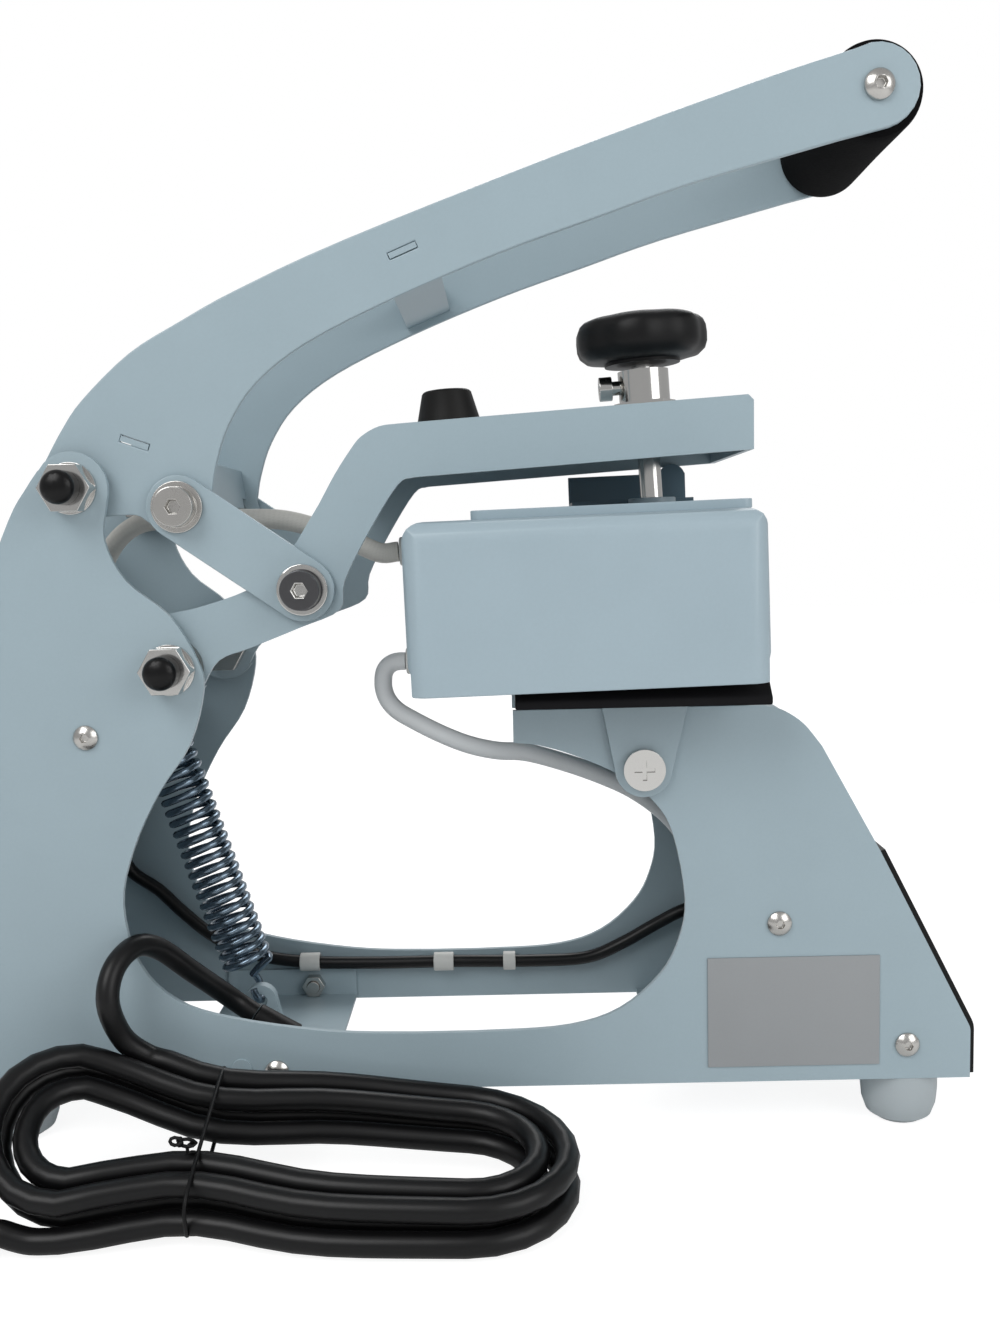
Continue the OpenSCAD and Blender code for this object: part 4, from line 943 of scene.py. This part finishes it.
@dataclass
class Handle:
    """The handle with its foam grip, plates, bridges and screws.

    Attributes:
        axis_at: Middle of the grip.
        grip_r: Radius of the foam.
        half: Half of its length.
        end_l: Length of the rounded ends.
        waist: How much thinner the foam is in its middle, as a share of the radius.
        steps: Rings between the ends.
        end_profile: The rounding, as a share of the radius and the way in from the end.
    """

    axis_at: Point = (0.139, 0.0, 0.345)
    grip_r: float = 0.01575
    half: float = 0.0373
    end_l: float = 0.003
    waist: float = 0.012
    steps: int = 14
    end_profile: tuple[tuple[float, float], ...] = ((0.55, 0), (0.86, 0), (0.97, 0.0012))

    def grip_rings(self) -> list[tuple[float, float]]:
        """Return the radius and place of each ring of the foam, from end to end."""
        r, w = self.grip_r, self.half
        inner = 2 * (w - self.end_l)
        rings = [(r * share, way - w) for share, way in self.end_profile]
        for k in range(self.steps + 1):
            thinner = self.waist * math.sin(math.pi * k / self.steps) ** 2
            rings.append((r * (1 - thinner), self.end_l - w + inner * k / self.steps))
        return rings + [(r * share, w - way) for share, way in reversed(self.end_profile)]

    def make(self, bench: Bench) -> None:
        """Build the foam grip and soften the rest."""
        place = Matrix.Translation(self.axis_at) @ Matrix.Rotation(math.radians(-90), 4, "X")
        grip = Turning("foam_grip", self.grip_rings(), FOAM_BLACK, sides=72).make(bench.shop, place)
        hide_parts("grip_sleeve")
        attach(grip, "handle")
        bench.soften(FRAME_PAINT, 0.0005, "left_handle_plate", "right_handle_plate", "handle_rear_bridge",
                     "handle_front_bridge")
        bench.soften(ZINC, 0.0003, "grip_screws", "handle_link_bolts")
        bench.carried(ZINC, "grip_bar")
        LOG.info("handle")


@dataclass
class FrameShell:
    """Side plates, covers, panel, feet and fixings of the frame."""

    def make(self, bench: Bench) -> None:
        """Soften the sheets and fixings and dress the board."""
        bench.soften(FRAME_PAINT, 0.0005, "left_side_plate", "right_side_plate", "rear_cover",
                     "front_cover", "base_cross_plate", "pedestal_floor")
        bench.soften(BLACK_PLASTIC, 0.0005, "control_fascia")
        bench.soften(LENS, 0.0003, "display_window")
        bench.soften(FOIL, 0.00015, "label_plate")
        bench.soften(FOOT_PLASTIC, 0.0008, "base_feet", segments=3)
        bench.soften(ZINC, 0.0002, "frame_screws")
        bench.soften(ZINC, 0.0003, "pivot_bolts")
        bench.soften(CHROME, 0.0004, "pivot_nuts")
        bench.soften(CAP_GLOSS, 0.0004, "pivot_caps")
        bench.soften(CHROME, 0.0003, "rocker_screws")
        bench.soften(BLACK_PLASTIC, 0.0005, "cable_glands")
        bench.soften(PALE_PLASTIC, 0.0004, "lead_sleeves")
        bench.soften(PALE_PLASTIC, 0.0006, "power_button", "set_button", "up_button", "down_button",
                     segments=3)
        bench.carried(BOARD, "circuit_board")
        LOG.info("frame")


@dataclass
class PressHead:
    """The upper arm, links, heater head and lower platen.

    Attributes:
        link_low: Axis of the lower link bolts.
        washer_y: The washers lie within this distance of the middle plane.
        socket_r: Radius of the sockets in the bolts.
    """

    link_low: Point = (-0.0506, 0.0, 0.1883)
    washer_y: float = 0.0442
    socket_r: float = 0.0034

    def make(self, bench: Bench) -> None:
        """Soften the moving pieces and dress what is inside."""
        bench.soften(FRAME_PAINT, 0.0007, "upper_arm", segments=3)
        bench.soften(FRAME_PAINT, 0.0005, "toggle_links")
        self.brighten_washers(bench, bench.softened("arm_link_bolts", DARK_STEEL, 0.0004))
        bench.soften(BUMPER_RUBBER, 0.0009, "rubber_bumper", segments=4)
        # The heater housing and top plate take the frame's pale blue, lightened as painted light.
        bench.soften(HEAD_PAINT_LIT, 0.0005, "heater_housing")
        bench.soften(HEAD_PAINT_LIT, 0.0006, "top_plate")
        # The guide bracket gets the frame paint darkened as painted shade.
        bench.soften(BRACKET_PAINT_SHADED, 0.0005, "guide_bracket")
        bench.soften(ALUMINIUM, 0.0006, "heater_platen")
        bench.soften(SILICONE, 0.0007, "lower_pad", segments=3)
        bench.soften(ALUMINIUM, 0.0005, "lower_saddle")
        bench.soften(FRAME_PAINT, 0.0004, "rocker_bracket")
        bench.soften(PALE_PLASTIC, 0.0006, "head_glands", segments=3)
        bench.soften(BLANKET, 0.0014, "insulation_blanket", segments=3)
        bench.carried(DARK_STEEL, "heating_element")
        bench.carried(ZINC, "thermal_cutout")
        bench.carried(BRONZE, "handle_bushes", "arm_bushes", "link_bushes")
        LOG.info("arm, head and lower platen")

    def brighten_washers(self, bench: Bench, bolts: Piece) -> None:
        """Give the washers and the sockets of the lower link bolts a bright finish."""
        bolts.data.materials.append(bench.shop.material(CHROME))
        x, _, z = self.link_low
        for face in bolts.data.polygons:
            corners = [bolts.matrix_world @ bolts.data.vertices[i].co for i in face.vertices]
            reach = max(math.hypot(c.x - x, c.z - z) for c in corners)
            if max(abs(c.y) for c in corners) < self.washer_y or reach < self.socket_r:
                face.material_index = 1


@dataclass
class Studio:
    """Camera, floor and lamps.

    Attributes:
        focal: Focal length, in pixels of the photograph.
        width: Width of the photograph, in pixels.
        vanishing: Vanishing point of +Y, in pixels from the picture's middle.
        roll: Slope of the level lines, in degrees.
        sensor: Width of the camera's sensor, in millimetres.
        floor_grey: Colour of the floor to the press.
        floor_roughness: Roughness of that floor.
        shadow: How much of the shadows the camera sees on the floor.
        glow: Light that the camera sees of the floor itself.
        aim: Where the lamps point.
        lamps: Name, place, power in watts and width of each lamp.
    """

    eye: Point = (0.0165, -0.464, 0.2035)
    focal: float = 1278.0
    width: float = 1000.0
    vanishing: tuple[float, float] = (5.0, -126.0)
    roll: float = 1.3
    sensor: float = 36
    floor_grey: float = 0.86
    floor_roughness: float = 0.8
    shadow: float = 0.3
    glow: float = 0.88
    room_colour: Colour = (0.985, 0.99, 1.0)
    room_strength: float = 0.47
    aim: Point = (0.0, 0.0, 0.17)
    lamps: tuple[tuple[str, Point, float, float], ...] = (
        ("key_lamp", (-0.7, -1.0, 1.2), 11, 0.9),
        ("fill_lamp", (1.0, -0.9, 0.7), 6, 0.9),
        ("back_lamp", (0.2, 1.0, 1.1), 7, 0.8))

    def camera(self) -> None:
        """Place the camera of the photograph.

        The vanishing point of +Y and the slope of the level lines give its turn.
        """
        across, down = self.vanishing
        away = Vector((across / self.focal, down / self.focal, 1)).normalized()
        roll = math.radians(self.roll)
        level = Vector((math.cos(roll), -math.sin(roll), 0))
        right = (level - away * level.dot(away)).normalized()
        up = right.cross(away)
        rows = [(right[i], away[i], up[i]) for i in range(3)]
        turn = Matrix((rows[0], [-v for v in rows[1]], [-v for v in rows[2]]))
        data = bpy.data.cameras.new("camera")
        data.sensor_width = self.sensor
        data.sensor_fit = "HORIZONTAL"
        data.lens = self.focal / self.width * self.sensor
        data.clip_start = 0.01
        camera = bpy.data.objects.new("camera", data)
        bpy.context.scene.collection.objects.link(camera)
        camera.matrix_world = Matrix.Translation(self.eye) @ turn.transposed().to_4x4()
        bpy.context.scene.camera = camera

    @staticmethod
    def by_ray(tree: Tree, plain: Socket, seen: Socket) -> Socket:
        """Mix a plain shader for the light on the press with one for what the camera sees."""
        path = tree.nodes.new("ShaderNodeLightPath")
        mix = tree.nodes.new("ShaderNodeMixShader")
        tree.links.new(path.outputs["Is Camera Ray"], mix.inputs["Fac"])
        tree.links.new(plain, mix.inputs[1])
        tree.links.new(seen, mix.inputs[2])
        return mix.outputs["Shader"]

    def floor(self) -> None:
        """Lay the pale floor, white to the camera and plain to the object."""
        bpy.ops.object.select_all(action="DESELECT")
        bpy.ops.mesh.primitive_plane_add(size=6, location=(0, 0, -0.0002))
        floor = bpy.context.object
        floor.name = "studio_floor"
        material = bpy.data.materials.new("studio_floor")
        material.use_nodes = True
        tree = material.node_tree
        plain = tree.nodes["Principled BSDF"]
        plain.inputs["Base Color"].default_value = (*[self.floor_grey] * 3, 1)
        plain.inputs["Roughness"].default_value = self.floor_roughness
        matt = tree.nodes.new("ShaderNodeBsdfDiffuse")
        matt.inputs["Color"].default_value = (*[self.shadow] * 3, 1)
        glow = tree.nodes.new("ShaderNodeEmission")
        glow.inputs["Strength"].default_value = self.glow
        seen = tree.nodes.new("ShaderNodeAddShader")
        tree.links.new(matt.outputs["BSDF"], seen.inputs[0])
        tree.links.new(glow.outputs["Emission"], seen.inputs[1])
        mixed = self.by_ray(tree, plain.outputs["BSDF"], seen.outputs["Shader"])
        tree.links.new(mixed, tree.nodes["Material Output"].inputs["Surface"])
        floor.data.materials.append(material)

    def world(self) -> None:
        """Light the room softly and show white behind the object."""
        world = bpy.data.worlds.new("room")
        bpy.context.scene.world = world
        world.use_nodes = True
        tree = world.node_tree
        tree.nodes.clear()
        out = tree.nodes.new("ShaderNodeOutputWorld")
        sides = []
        for colour, strength in ((self.room_colour, self.room_strength), ((1, 1, 1), 1.0)):
            side = tree.nodes.new("ShaderNodeBackground")
            side.inputs["Color"].default_value = (*colour, 1)
            side.inputs["Strength"].default_value = strength
            sides.append(side.outputs["Background"])
        tree.links.new(self.by_ray(tree, *sides), out.inputs["Surface"])

    def lamp(self, name: str, place: Point, power: float, size: float) -> None:
        """Hang one soft lamp that faces the press, with its power in watts and its width."""
        data = bpy.data.lights.new(name, "AREA")
        data.energy = power
        data.size = size
        lamp = bpy.data.objects.new(name, data)
        bpy.context.scene.collection.objects.link(lamp)
        lamp.location = place
        way = Vector(self.aim) - Vector(place)
        lamp.rotation_euler = way.to_track_quat("-Z", "Y").to_euler()

    def light(self) -> None:
        """Set the world and the lamps."""
        self.world()
        for lamp in self.lamps:
            self.lamp(*lamp)


def main() -> None:
    """Build the scene in order and report each piece."""
    logging.basicConfig(level=logging.INFO, format="%(message)s")
    for old in list(bpy.data.objects):
        bpy.data.objects.remove(old)
    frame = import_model()
    bpy.context.scene.view_settings.view_transform = "Standard"
    studio = Studio()
    studio.camera()
    bench = Bench(frame, PaintShop())
    MainsCord().make(bench)
    HeldCables().make(bench)
    ReturnSpring().make(bench)
    FrameShell().make(bench)
    Handle().make(bench)
    PressHead().make(bench)
    PressureSet().make(bench)
    studio.floor()
    studio.light()


if __name__ == "__main__":
    main()
